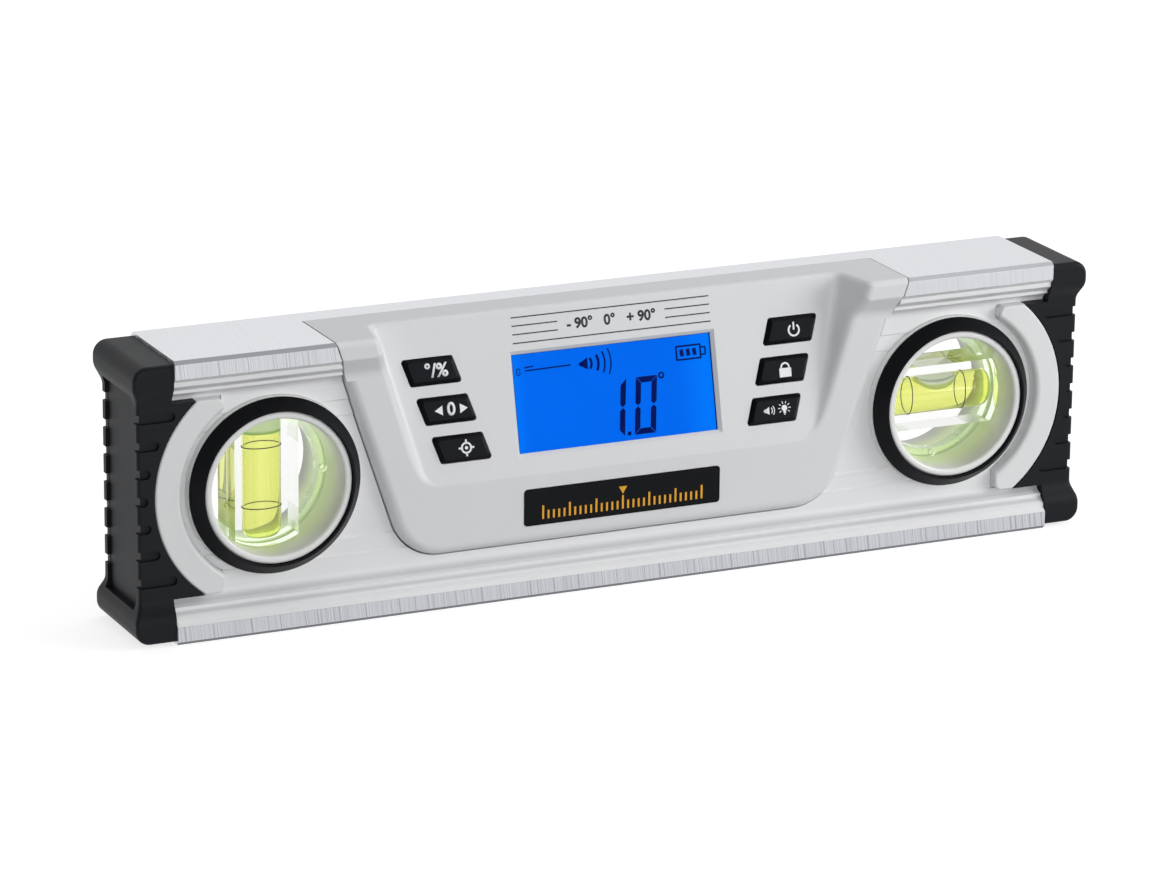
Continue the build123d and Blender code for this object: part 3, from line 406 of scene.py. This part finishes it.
plumb_tint = tint(tree, plumb_green, (0.60, 0.70, 0.40, 1), (0.24, 0.44, 0.07, 1))
painted = tint(tree, upright, level_tint, plumb_tint)
tree.links.new(painted, shader.inputs["Base Color"])
# Painted glow: the painted colour also lights the bubble
tree.links.new(painted, shader.inputs["Emission Color"])

# Window over the display: clear, with hardly any reflection
window_clear, tree, shader = surface(
    "window_clear", Transmission_Weight=1.0, Roughness=0.0, IOR=1.03, Specular_IOR_Level=0.15
)
where = place(tree)[0]
tree.links.new(
    tint(tree, noise(tree, where, 30.0, 2.0), (0.985, 0.99, 1.0, 1), (1.0, 1.0, 1.0, 1)),
    shader.inputs["Base Color"],
)

# Display: lit from behind, a little brighter towards the right-hand edge
lcd_blue, tree, shader = surface(
    "lcd_blue",
    Roughness=0.3,
    Base_Color=(0.0, 0.01, 0.05, 1),
    Emission_Strength=1.0,
    Specular_IOR_Level=0.02,
)
where, x, _, _ = place(tree)
edge = calc(tree, "MAXIMUM", step(tree, x, 0.016, 0.027), step(tree, x, -0.022, -0.027))
patch = noise(tree, where, 70.0, 2.0)
lit = tint(tree, calc(tree, "MULTIPLY", edge, 0.8), (0.0, 0.125, 0.80, 1), (0.0, 0.20, 0.98, 1))
glass = tint(tree, span(tree, patch, -0.2, 0.5), lit, (0.0, 0.15, 0.86, 1))
tree.links.new(glass, shader.inputs["Emission Color"])

lcd_ink, tree, shader = surface(
    "lcd_ink",
    Roughness=0.4,
    Base_Color=(0.001, 0.002, 0.02, 1),
    Emission_Strength=1.0,
    Specular_IOR_Level=0.02,
)
where = place(tree)[0]
tree.links.new(
    tint(tree, noise(tree, where, 300.0, 1.0), (0.0, 0.003, 0.06, 1), (0.001, 0.006, 0.09, 1)),
    shader.inputs["Emission Color"],
)

# Cells: dark sleeve with a copper band at the positive end
battery_wrap, tree, shader = surface("battery_wrap", Roughness=0.3, Metallic=0.6)
where, x, _, _ = place(tree)
along = calc(tree, "MODULO", calc(tree, "ADD", x, 2 * CELL_LENGTH), CELL_LENGTH)
band = step(tree, along, 0.0300, 0.0302)
tip = step(tree, along, 0.0428, 0.0430)
sleeve_colour = tint(tree, band, (0.02, 0.025, 0.03, 1), (0.55, 0.24, 0.07, 1))
tree.links.new(tint(tree, tip, sleeve_colour, (0.7, 0.7, 0.7, 1)), shader.inputs["Base Color"])
tree.links.new(relief(tree, noise(tree, where, 1500.0, 2.0), 0.05, 0.00003), shader.inputs["Normal"])

# Board: solder mask over a fine pattern of tracks
board_green, tree, shader = surface("board_green", Roughness=0.35)
tracks = tree.nodes.new("ShaderNodeTexBrick")
tree.links.new(place(tree)[0], tracks.inputs["Vector"])
tracks.inputs["Scale"].default_value = 120.0
tracks.inputs["Color1"].default_value = (0.010, 0.10, 0.035, 1)
tracks.inputs["Color2"].default_value = (0.012, 0.12, 0.045, 1)
tracks.inputs["Mortar"].default_value = (0.03, 0.20, 0.08, 1)
tree.links.new(tracks.outputs["Color"], shader.inputs["Base Color"])
tree.links.new(relief(tree, tracks.outputs["Fac"], 0.2, 0.00003), shader.inputs["Normal"])

finishes = {
    "beam_aluminium": beam_aluminium,
    "magnet_nickel": magnet_nickel,
    "plug_plastic": plug_plastic,
    "bumper_rubber": bumper_rubber,
    "sleeve_white": sleeve_white,
    "ring_black": ring_black,
    "acrylic": acrylic,
    "line_ink": line_ink,
    "vial_liquid": vial_liquid,
    "vial_bubble": vial_bubble,
    "housing_plastic": housing_plastic,
    "label_black": label_black,
    "seal_rubber": seal_rubber,
    "battery_wrap": battery_wrap,
    "contact_steel": contact_steel,
    "window_clear": window_clear,
    "lcd_blue": lcd_blue,
    "backlight_white": backlight_white,
    "frame_white": frame_white,
    "board_green": board_green,
    "chip_black": chip_black,
    "key_black": key_black,
    "plunger_red": plunger_red,
    "screw_steel": screw_steel,
}
for part in frame["record"]["subparts"]:
    nodes[part["node"]].material_slots[0].material = finishes[part["material_slot"]]


# Pieces that the solids leave to this script


def add_piece(name, bm, material, body):
    """New piece from a bmesh, which rides on a body."""
    mesh = bpy.data.meshes.new(name)
    bm.to_mesh(mesh)
    bm.free()
    mesh.materials.append(material)
    made = bpy.data.objects.new(name, mesh)
    scene.collection.objects.link(made)
    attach(made, body)
    return made


def verts_of(result):
    """The vertices among what an operator made."""
    return [item for item in result["geom"] if isinstance(item, bmesh.types.BMVert)]


def smooth(bm):
    for face in bm.faces:
        face.smooth = True


def hoops(radius, starts, width, thick, sides):
    """Closed hoops round the z axis, one from each start height, their walls growing outwards."""
    bm = bmesh.new()
    for start in starts:
        ring = bmesh.ops.create_circle(bm, segments=sides, radius=radius)["verts"]
        bmesh.ops.translate(bm, verts=ring, vec=(0, 0, start))
    wall = bmesh.ops.extrude_edge_only(bm, edges=bm.edges[:])
    bmesh.ops.translate(bm, verts=verts_of(wall), vec=(0, 0, width))
    bmesh.ops.recalc_face_normals(bm, faces=bm.faces)
    bmesh.ops.solidify(bm, geom=bm.faces[:], thickness=-thick)
    bmesh.ops.recalc_face_normals(bm, faces=bm.faces)
    return bm


# Flat artwork is drawn in millimetres on local x and y, and then laid on the sloping panel
PANEL = Matrix(
    (
        (1, 0, 0, 0),
        (0, sin(PANEL_TILT), -cos(PANEL_TILT), PANEL_Y),
        (0, cos(PANEL_TILT), sin(PANEL_TILT), PANEL_Z),
        (0, 0, 0, 1),
    )
)
FRONT = Matrix(((1, 0, 0, 0), (0, 0, -1, PANEL_Y), (0, 1, 0, 0), (0, 0, 0, 1)))


def lay(bm, plane, base, thick):
    """Gives flat artwork its thickness and lays it on a plane, its underside at a height over it."""
    bmesh.ops.remove_doubles(bm, verts=bm.verts, dist=1e-5)
    bm.normal_update()
    for face in bm.faces:
        if face.normal.z < 0:
            face.normal_flip()
    bmesh.ops.translate(bm, verts=bm.verts, vec=(0, 0, base))
    top = bmesh.ops.extrude_face_region(bm, geom=bm.faces[:])
    bmesh.ops.translate(bm, verts=verts_of(top), vec=(0, 0, thick))
    bmesh.ops.recalc_face_normals(bm, faces=bm.faces)
    bmesh.ops.transform(bm, matrix=Matrix.Scale(MM, 4) @ plane, verts=bm.verts)


def bar(bm, x, y, width, height, turn=0.0):
    """Flat bar round its middle."""
    spot = Matrix.Translation((x, y, 0)) @ Matrix.Rotation(turn, 4, "Z")
    shape = spot @ Matrix.Diagonal((width, height, 1, 1))
    bmesh.ops.create_grid(bm, x_segments=1, y_segments=1, size=0.5, matrix=shape)


def disc(bm, x, y, radius, sides=24, turn=0.0):
    """Flat disc, or a triangle where it has three sides."""
    spot = Matrix.Translation((x, y, 0)) @ Matrix.Rotation(turn, 4, "Z")
    bmesh.ops.create_circle(bm, cap_ends=True, segments=sides, radius=radius, matrix=spot)


def arc(bm, x, y, radius, width, start, sweep):
    """Flat curved stroke, from a start angle through a sweep."""
    verts = [
        bm.verts.new((x + reach * cos(start), y + reach * sin(start), 0))
        for reach in (radius - width / 2, radius + width / 2)
    ]
    stroke = [*verts, bm.edges.new(verts)]
    whole = sweep >= 2 * pi
    bmesh.ops.spin(
        bm, geom=stroke, cent=(x, y, 0), axis=(0, 0, 1), angle=sweep, steps=28, use_merge=whole
    )


def plate(bm, *corners):
    """Flat piece from its corners."""
    bm.faces.new([bm.verts.new((x, y, 0)) for x, y in corners])


# Display figures: strokes with mitred ends and a thin gap between them
LCD_FACE = -2.15
INK_LIFT = 0.02
INK_THICK = 0.05
STROKE = 1.42
STROKE_GAP = 0.09
FIGURE_TOP = 20.1
FIGURE_MIDDLE = 13.2
FIGURE_BOTTOM = 6.35
LEAN = 0.115


def side_strokes(bm, outer, inward):
    """The two upright strokes on one side of a figure, mitred at the ends and pointed in the middle."""
    inner = outer + inward * STROKE
    for end, up in ((FIGURE_TOP, 1), (FIGURE_BOTTOM, -1)):
        shoulder = FIGURE_MIDDLE + up * (STROKE / 2 + STROKE_GAP)
        plate(
            bm,
            (outer, end - up * STROKE_GAP),
            (inner, end - up * (STROKE + STROKE_GAP)),
            (inner, shoulder),
            ((outer + inner) / 2, FIGURE_MIDDLE + up * STROKE_GAP),
            (outer, shoulder),
        )


ONE_RIGHT = 2.9
ZERO_LEFT, ZERO_RIGHT = 5.49, 11.11
bm = bmesh.new()
side_strokes(bm, ONE_RIGHT, -1)
side_strokes(bm, ZERO_LEFT, 1)
side_strokes(bm, ZERO_RIGHT, -1)
for end, up in ((FIGURE_TOP, 1), (FIGURE_BOTTOM, -1)):
    plate(
        bm,
        (ZERO_LEFT + STROKE_GAP, end),
        (ZERO_RIGHT - STROKE_GAP, end),
        (ZERO_RIGHT - STROKE - STROKE_GAP, end - up * STROKE),
        (ZERO_LEFT + STROKE + STROKE_GAP, end - up * STROKE),
    )
bar(bm, 4.1, 6.85, 0.9, 0.9)
lean = Matrix.Identity(4)
lean[0][1] = LEAN
lean[0][3] = -LEAN * FIGURE_MIDDLE
bmesh.ops.transform(bm, matrix=lean, verts=bm.verts)
arc(bm, 13.0, 19.9, 0.62, 0.42, 0.0, 2 * pi)
lay(bm, PANEL, LCD_FACE + INK_LIFT, INK_THICK)
add_piece("display_figures", bm, lcd_ink, "level")

# Display icons, and the dark edge of the glass
bm = bmesh.new()
for line_y in (23.0, 26.25):
    bar(bm, 20.7, line_y, 6.7, 0.42)
for line_x in (17.5, 23.9):
    bar(bm, line_x, 24.62, 0.42, 3.1)
for line_y in (23.75, 25.5):
    bar(bm, 24.65, line_y, 1.2, 0.38)
bar(bm, 25.2, 24.62, 0.38, 1.5)
for bar_x in (18.9, 20.6, 22.3):
    bar(bm, bar_x, 24.62, 0.95, 1.7, 0.12)
disc(bm, -6.9, 24.75, 1.7, 3, pi / 2)
bar(bm, -7.6, 24.75, 0.9, 1.1)
for reach, width, sweep in ((2.1, 0.6, 1.3), (3.9, 0.66, 1.0), (5.6, 0.42, 0.95), (7.2, 0.34, 0.9)):
    arc(bm, -7.1, 24.7, reach, width, -sweep / 2, sweep)
bar(bm, -21.4, 25.55, 2.4, 0.3, 0.09)
bar(bm, -16.5, 24.8, 11.9, 0.34, 0.014)
for line_y in (23.85, 25.35):
    bar(bm, -24.2, line_y, 0.7, 0.2)
for line_x in (-24.6, -23.8):
    bar(bm, line_x, 24.6, 0.2, 1.5)
for line_x in (-25.8, 26.7):
    bar(bm, line_x, 17.1, 0.5, 24.6)
bar(bm, 0.0, 28.98, 53.6, 0.5)
lay(bm, PANEL, LCD_FACE + INK_LIFT, INK_THICK)
add_piece("display_icons", bm, lcd_ink, "level")


def figures(bm, text, x, y, size, weight):
    """Plain figures, centred, from the built-in font, their strokes widened by a weight."""
    curve = bpy.data.curves.new("figures", "FONT")
    curve.body = text
    curve.size = size
    curve.align_x = "CENTER"
    curve.align_y = "CENTER"
    curve.offset = weight
    holder = bpy.data.objects.new("figures", curve)
    mesh = holder.to_mesh()
    mesh.transform(Matrix.Translation((x, y, 0)))
    bm.from_mesh(mesh)
    holder.to_mesh_clear()
    bpy.data.objects.remove(holder)
    bpy.data.curves.remove(curve)


# Printed stripes over the display, with the measuring range between them
PRINT_SINK = 0.01
PRINT_THICK = 0.025
PRINT_MIDDLE = 0.25
STRIPE = 0.3
bm = bmesh.new()
for line_y in (37.76, 31.62):
    bar(bm, PRINT_MIDDLE, line_y, 52.2, STRIPE)
for line_y in (35.74, 33.70):
    for side in (-1, 1):
        bar(bm, PRINT_MIDDLE + side * 20.1, line_y, 11.9, STRIPE)
figures(bm, "- 90°   0°   + 90°", PRINT_MIDDLE, 34.72, 3.45, 0.12)
lay(bm, PANEL, -PRINT_SINK, PRINT_THICK)
add_piece("panel_print", bm, print_ink, "level")


# Key symbols


def unit_symbol(bm):
    figures(bm, "°/%", 0.0, 0.0, 4.5, 0.12)


def reference_symbol(bm):
    figures(bm, "0", 0.0, 0.0, 4.3, 0.12)
    disc(bm, -2.9, 0.0, 1.35, 3, pi / 2)
    disc(bm, 2.9, 0.0, 1.35, 3, -pi / 2)


def calibrate_symbol(bm):
    arc(bm, 0.0, 0.0, 1.2, 0.46, 0.0, 2 * pi)
    for turn in range(4):
        reach = Matrix.Rotation(turn * pi / 2, 2) @ Vector((1.45, 0.0))
        bar(bm, reach.x, reach.y, 1.1, 0.46, turn * pi / 2)
    disc(bm, 0.0, 0.0, 0.42)


def power_symbol(bm):
    arc(bm, 0.0, -0.15, 1.4, 0.46, radians(125), radians(290))
    bar(bm, 0.0, 0.85, 0.46, 1.9)


def hold_symbol(bm):
    bar(bm, 0.0, -0.75, 3.2, 2.2)
    arc(bm, 0.0, 0.5, 1.05, 0.46, 0.0, pi)
    for side in (-1, 1):
        bar(bm, side * 1.05, 0.42, 0.46, 0.36)


def sound_light_symbol(bm):
    bar(bm, -3.2, -0.1, 0.6, 0.9)
    disc(bm, -2.75, -0.1, 1.1, 3, pi / 2)
    for reach, sweep in ((1.0, 1.5), (1.6, 1.4)):
        arc(bm, -2.4, -0.1, reach, 0.22, -sweep / 2, sweep)
    disc(bm, 1.9, 0.15, 0.75)
    bar(bm, 1.9, -0.85, 0.7, 0.5)
    bar(bm, 1.9, -1.35, 0.45, 0.25)
    for turn in range(8):
        angle = radians(-35) + turn * radians(250) / 7
        bar(bm, 1.9 + 1.4 * cos(angle), 0.15 + 1.4 * sin(angle), 0.6, 0.2, angle)


# Each key: its side, its row, its symbol and how far the symbol sits aside of the key's middle
symbols = {
    "unit": (-1, 1, unit_symbol, 0.8),
    "reference": (-1, 0, reference_symbol, 0.8),
    "calibrate": (-1, -1, calibrate_symbol, 0.8),
    "power": (1, 1, power_symbol, 0.6),
    "hold": (1, 0, hold_symbol, 0.4),
    "sound_light": (1, -1, sound_light_symbol, 0.4),
}
KEY_X = 44.3
KEY_Y = 17.95
KEY_PITCH = 9.45
KEY_DRIFT = 0.317
for key, (side, row, draw, aside) in symbols.items():
    bm = bmesh.new()
    draw(bm)
    centre_x = side * (KEY_X + row * KEY_PITCH * KEY_DRIFT) + aside
    centre_y = KEY_Y + row * KEY_PITCH
    bmesh.ops.translate(bm, verts=bm.verts, vec=(centre_x, centre_y, 0))
    lay(bm, PANEL, KEY_TOP - PRINT_SINK, PRINT_THICK)
    add_piece(f"symbol_{key}", bm, symbol_white, f"key_{key}")

# Label plate: a plain graduated scale
LABEL_FACE = 0.2
TICK_PITCH = 1.4
TICK_FOOT = 18.6
bm = bmesh.new()
for tick in range(-15, 16):
    tall = 3.4 if tick % 5 == 0 else 2.1
    bar(bm, tick * TICK_PITCH, TICK_FOOT + tall / 2, 0.5, tall)
disc(bm, 0.0, 23.6, 1.25, 3, pi)
lay(bm, FRONT, LABEL_FACE - PRINT_SINK, PRINT_THICK)
add_piece("label_scale", bm, symbol_amber, "level")

# Liquid: fills the bore without a break, so that the light bends at the acrylic as it should
VIALS = {
    "left": Matrix.Translation((-VIAL_X, 0, VIAL_Z)) @ Matrix.Rotation(pi, 4, "X"),
    "right": Matrix.Translation((VIAL_X, 0, VIAL_Z)) @ Matrix.Rotation(pi / 2, 4, "Y"),
}
LIQUID_RADIUS = 4.815
LIQUID_LENGTH = 30.03
ROUND_END = 2.5
FLAT_END = -14.9
for name, vial in VIALS.items():
    bm = bmesh.new()
    bmesh.ops.create_cone(
        bm,
        cap_ends=True,
        cap_tris=False,
        segments=96,
        radius1=LIQUID_RADIUS * MM,
        radius2=LIQUID_RADIUS * MM,
        depth=LIQUID_LENGTH * MM,
    )
    closed_end = [edge for edge in bm.edges if min(edge.verts[0].co.z, edge.verts[1].co.z) > 0]
    bmesh.ops.bevel(
        bm, geom=closed_end, offset=ROUND_END * MM, affect="EDGES", segments=8, profile=0.5, material=-1
    )
    for edge in bm.edges:
        edge.smooth = max(edge.verts[0].co.z, edge.verts[1].co.z) > FLAT_END * MM
    bmesh.ops.transform(bm, matrix=vial, verts=bm.verts)
    smooth(bm)
    liquid = add_piece(f"liquid_{name}", bm, vial_liquid, "level")
    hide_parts(f"vial_liquid_{name}")

# Reading lines: hoops in the wall of the bore, so that the bubble passes under them
LINE_RADIUS = 4.86
LINE_PLACE = 7.4
LINE_WIDTH = 0.24
LINE_THICK = 0.1
line_starts = [(spot - LINE_WIDTH / 2) * MM for spot in (-LINE_PLACE, LINE_PLACE)]
for name, vial in VIALS.items():
    bm = hoops(LINE_RADIUS * MM, line_starts, LINE_WIDTH * MM, LINE_THICK * MM, 96)
    bmesh.ops.transform(bm, matrix=vial, verts=bm.verts)
    lines = add_piece(f"reading_lines_{name}", bm, line_ink, "level")
    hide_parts(f"vial_lines_{name}")

# Level bubble: lies along the top of the bore, deepest in its middle
bm = bmesh.new()
bmesh.ops.create_uvsphere(bm, u_segments=48, v_segments=32, radius=1.0)
for vert in bm.verts:
    along = max(-1.0, min(1.0, vert.co.z))
    fullness = sqrt(1 - along**2)
    turn = atan2(vert.co.y, vert.co.x)
    half_angle = acos(1 - BUBBLE_DEPTH * fullness / BUBBLE_RADIUS)
    if turn >= 0:
        angle = half_angle * (1 - 2 * turn / pi)
        out, high = BUBBLE_RADIUS * sin(angle), BUBBLE_RADIUS * cos(angle)
    else:
        out = BUBBLE_RADIUS * sin(half_angle) * cos(turn)
        high = BUBBLE_RADIUS * cos(half_angle) + BUBBLE_SAG * fullness * sin(turn)
    vert.co = Vector((VIAL_X, 0, VIAL_Z)) + Vector((BUBBLE_HALF * along, out, high)) * MM
bmesh.ops.recalc_face_normals(bm, faces=bm.faces)
smooth(bm)
level_air = add_piece("air_right", bm, vial_bubble, "bubble_right")
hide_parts("vial_bubble_right")

# Plumb bubble: fills the top of the upright bore
PLUMB_DEPTH = 4.2
PLUMB_MIDDLE = 0.0478
bm = bmesh.new()
bmesh.ops.create_cone(
    bm,
    cap_ends=True,
    cap_tris=False,
    segments=64,
    radius1=BUBBLE_RADIUS * MM,
    radius2=BUBBLE_RADIUS * MM,
    depth=PLUMB_DEPTH * MM,
)
for edge in bm.edges:
    edge.smooth = abs(edge.verts[0].co.z - edge.verts[1].co.z) > 1 * MM
bmesh.ops.translate(bm, verts=bm.verts, vec=(-VIAL_X, 0, PLUMB_MIDDLE))
smooth(bm)
plumb_air = add_piece("air_left", bm, vial_bubble, "bubble_left")
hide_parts("vial_bubble_left")

# Liner: closes the joint between the two halves of each sleeve, round the rim of the vial
LINER_RADIUS = 19.45
LINER_WIDTH = 3.0
LINER_THICK = 0.2
for name, side in SIDES.items():
    bm = hoops(LINER_RADIUS * MM, [-LINER_WIDTH / 2 * MM], LINER_WIDTH * MM, LINER_THICK * MM, 128)
    turn = Matrix.Translation((side * VIAL_X, 0, VIAL_Z)) @ Matrix.Rotation(pi / 2, 4, "X")
    bmesh.ops.transform(bm, matrix=turn, verts=bm.verts)
    add_piece(f"liner_{name}", bm, symbol_white, "level")

# Floor, light and camera

floor_mesh = bpy.data.meshes.new("floor")
just_under = Matrix.Translation((0, 0, -0.0001))
bm = bmesh.new()
bmesh.ops.create_grid(bm, x_segments=1, y_segments=1, size=4.0, matrix=just_under)
bm.to_mesh(floor_mesh)
bm.free()
floor = bpy.data.objects.new("floor", floor_mesh)
scene.collection.objects.link(floor)


def in_view(tree):
    """1 for rays that show the background: straight, in a reflection or through glass."""
    path = tree.nodes.new("ShaderNodeLightPath").outputs
    through = calc(tree, "MAXIMUM", path["Is Glossy Ray"], path["Is Transmission Ray"])
    return calc(tree, "MAXIMUM", path["Is Camera Ray"], through)


# White to the eye, but a dull source of light for what faces down
floor_white, tree, shader = surface(
    "floor_white", Roughness=0.9, Specular_IOR_Level=0.0, Emission_Color=(1, 1, 1, 1)
)
seen = in_view(tree)
tree.links.new(span(tree, seen, 0.0, 0.74), shader.inputs["Emission Strength"])
floor_tint = tint(tree, seen, (0.20, 0.20, 0.205, 1), (0.55, 0.55, 0.56, 1))
tree.links.new(floor_tint, shader.inputs["Base Color"])
floor.data.materials.append(floor_white)

# White backdrop behind the object; the rest of the room is dimmer, most of all on the left
world = bpy.data.worlds.new("studio")
scene.world = world
world.use_nodes = True
tree = world.node_tree
background = tree.nodes["Background"]
background.inputs["Color"].default_value = (1, 1, 1, 1)
direction = tree.nodes.new("ShaderNodeSeparateXYZ")
tree.links.new(tree.nodes.new("ShaderNodeTexCoord").outputs["Generated"], direction.inputs[0])
backdrop = calc(tree, "MULTIPLY", in_view(tree), step(tree, direction.outputs["Y"], -0.35, 0.0))
room = span(tree, step(tree, direction.outputs["X"], -0.85, 0.35), 0.30, 0.46)
tree.links.new(between(tree, backdrop, room, 1.0), background.inputs["Strength"])


def softbox(name, spot, aim, size, power):
    lamp = bpy.data.lights.new(name, "AREA")
    lamp.shape = "RECTANGLE"
    lamp.size, lamp.size_y = size
    lamp.energy = power
    made = bpy.data.objects.new(name, lamp)
    made.location = spot
    made.rotation_euler = (Vector(aim) - Vector(spot)).to_track_quat("-Z", "Y").to_euler()
    scene.collection.objects.link(made)


softbox("front_softbox", (-0.30, -1.62, 0.22), (0, 0, 0.03), (1.0, 0.6), 9.0)
softbox("right_softbox", (0.68, -0.45, 0.25), (0.03, 0, 0.03), (0.5, 0.4), 3.4)
softbox("top_softbox", (0.30, 0.25, 1.2), (0, 0, 0.03), (1.2, 0.6), 2.2)

# Camera: fitted to the beam's corners in the photograph
SENSOR_WIDTH = 36.0
PICTURE_WIDTH = 1176
FOCAL_PIXELS = 5513.99
camera_data = bpy.data.cameras.new("camera")
camera_data.sensor_fit = "HORIZONTAL"
camera_data.sensor_width = SENSOR_WIDTH
camera_data.lens = FOCAL_PIXELS / PICTURE_WIDTH * SENSOR_WIDTH
camera = bpy.data.objects.new("camera", camera_data)
camera.matrix_world = Matrix(
    (
        (0.90745, 0.11247, -0.40483, -0.54162),
        (-0.42005, 0.26503, -0.86794, -1.15285),
        (0.00968, 0.95766, 0.28775, 0.41493),
        (0, 0, 0, 1),
    )
)
scene.collection.objects.link(camera)
scene.camera = camera
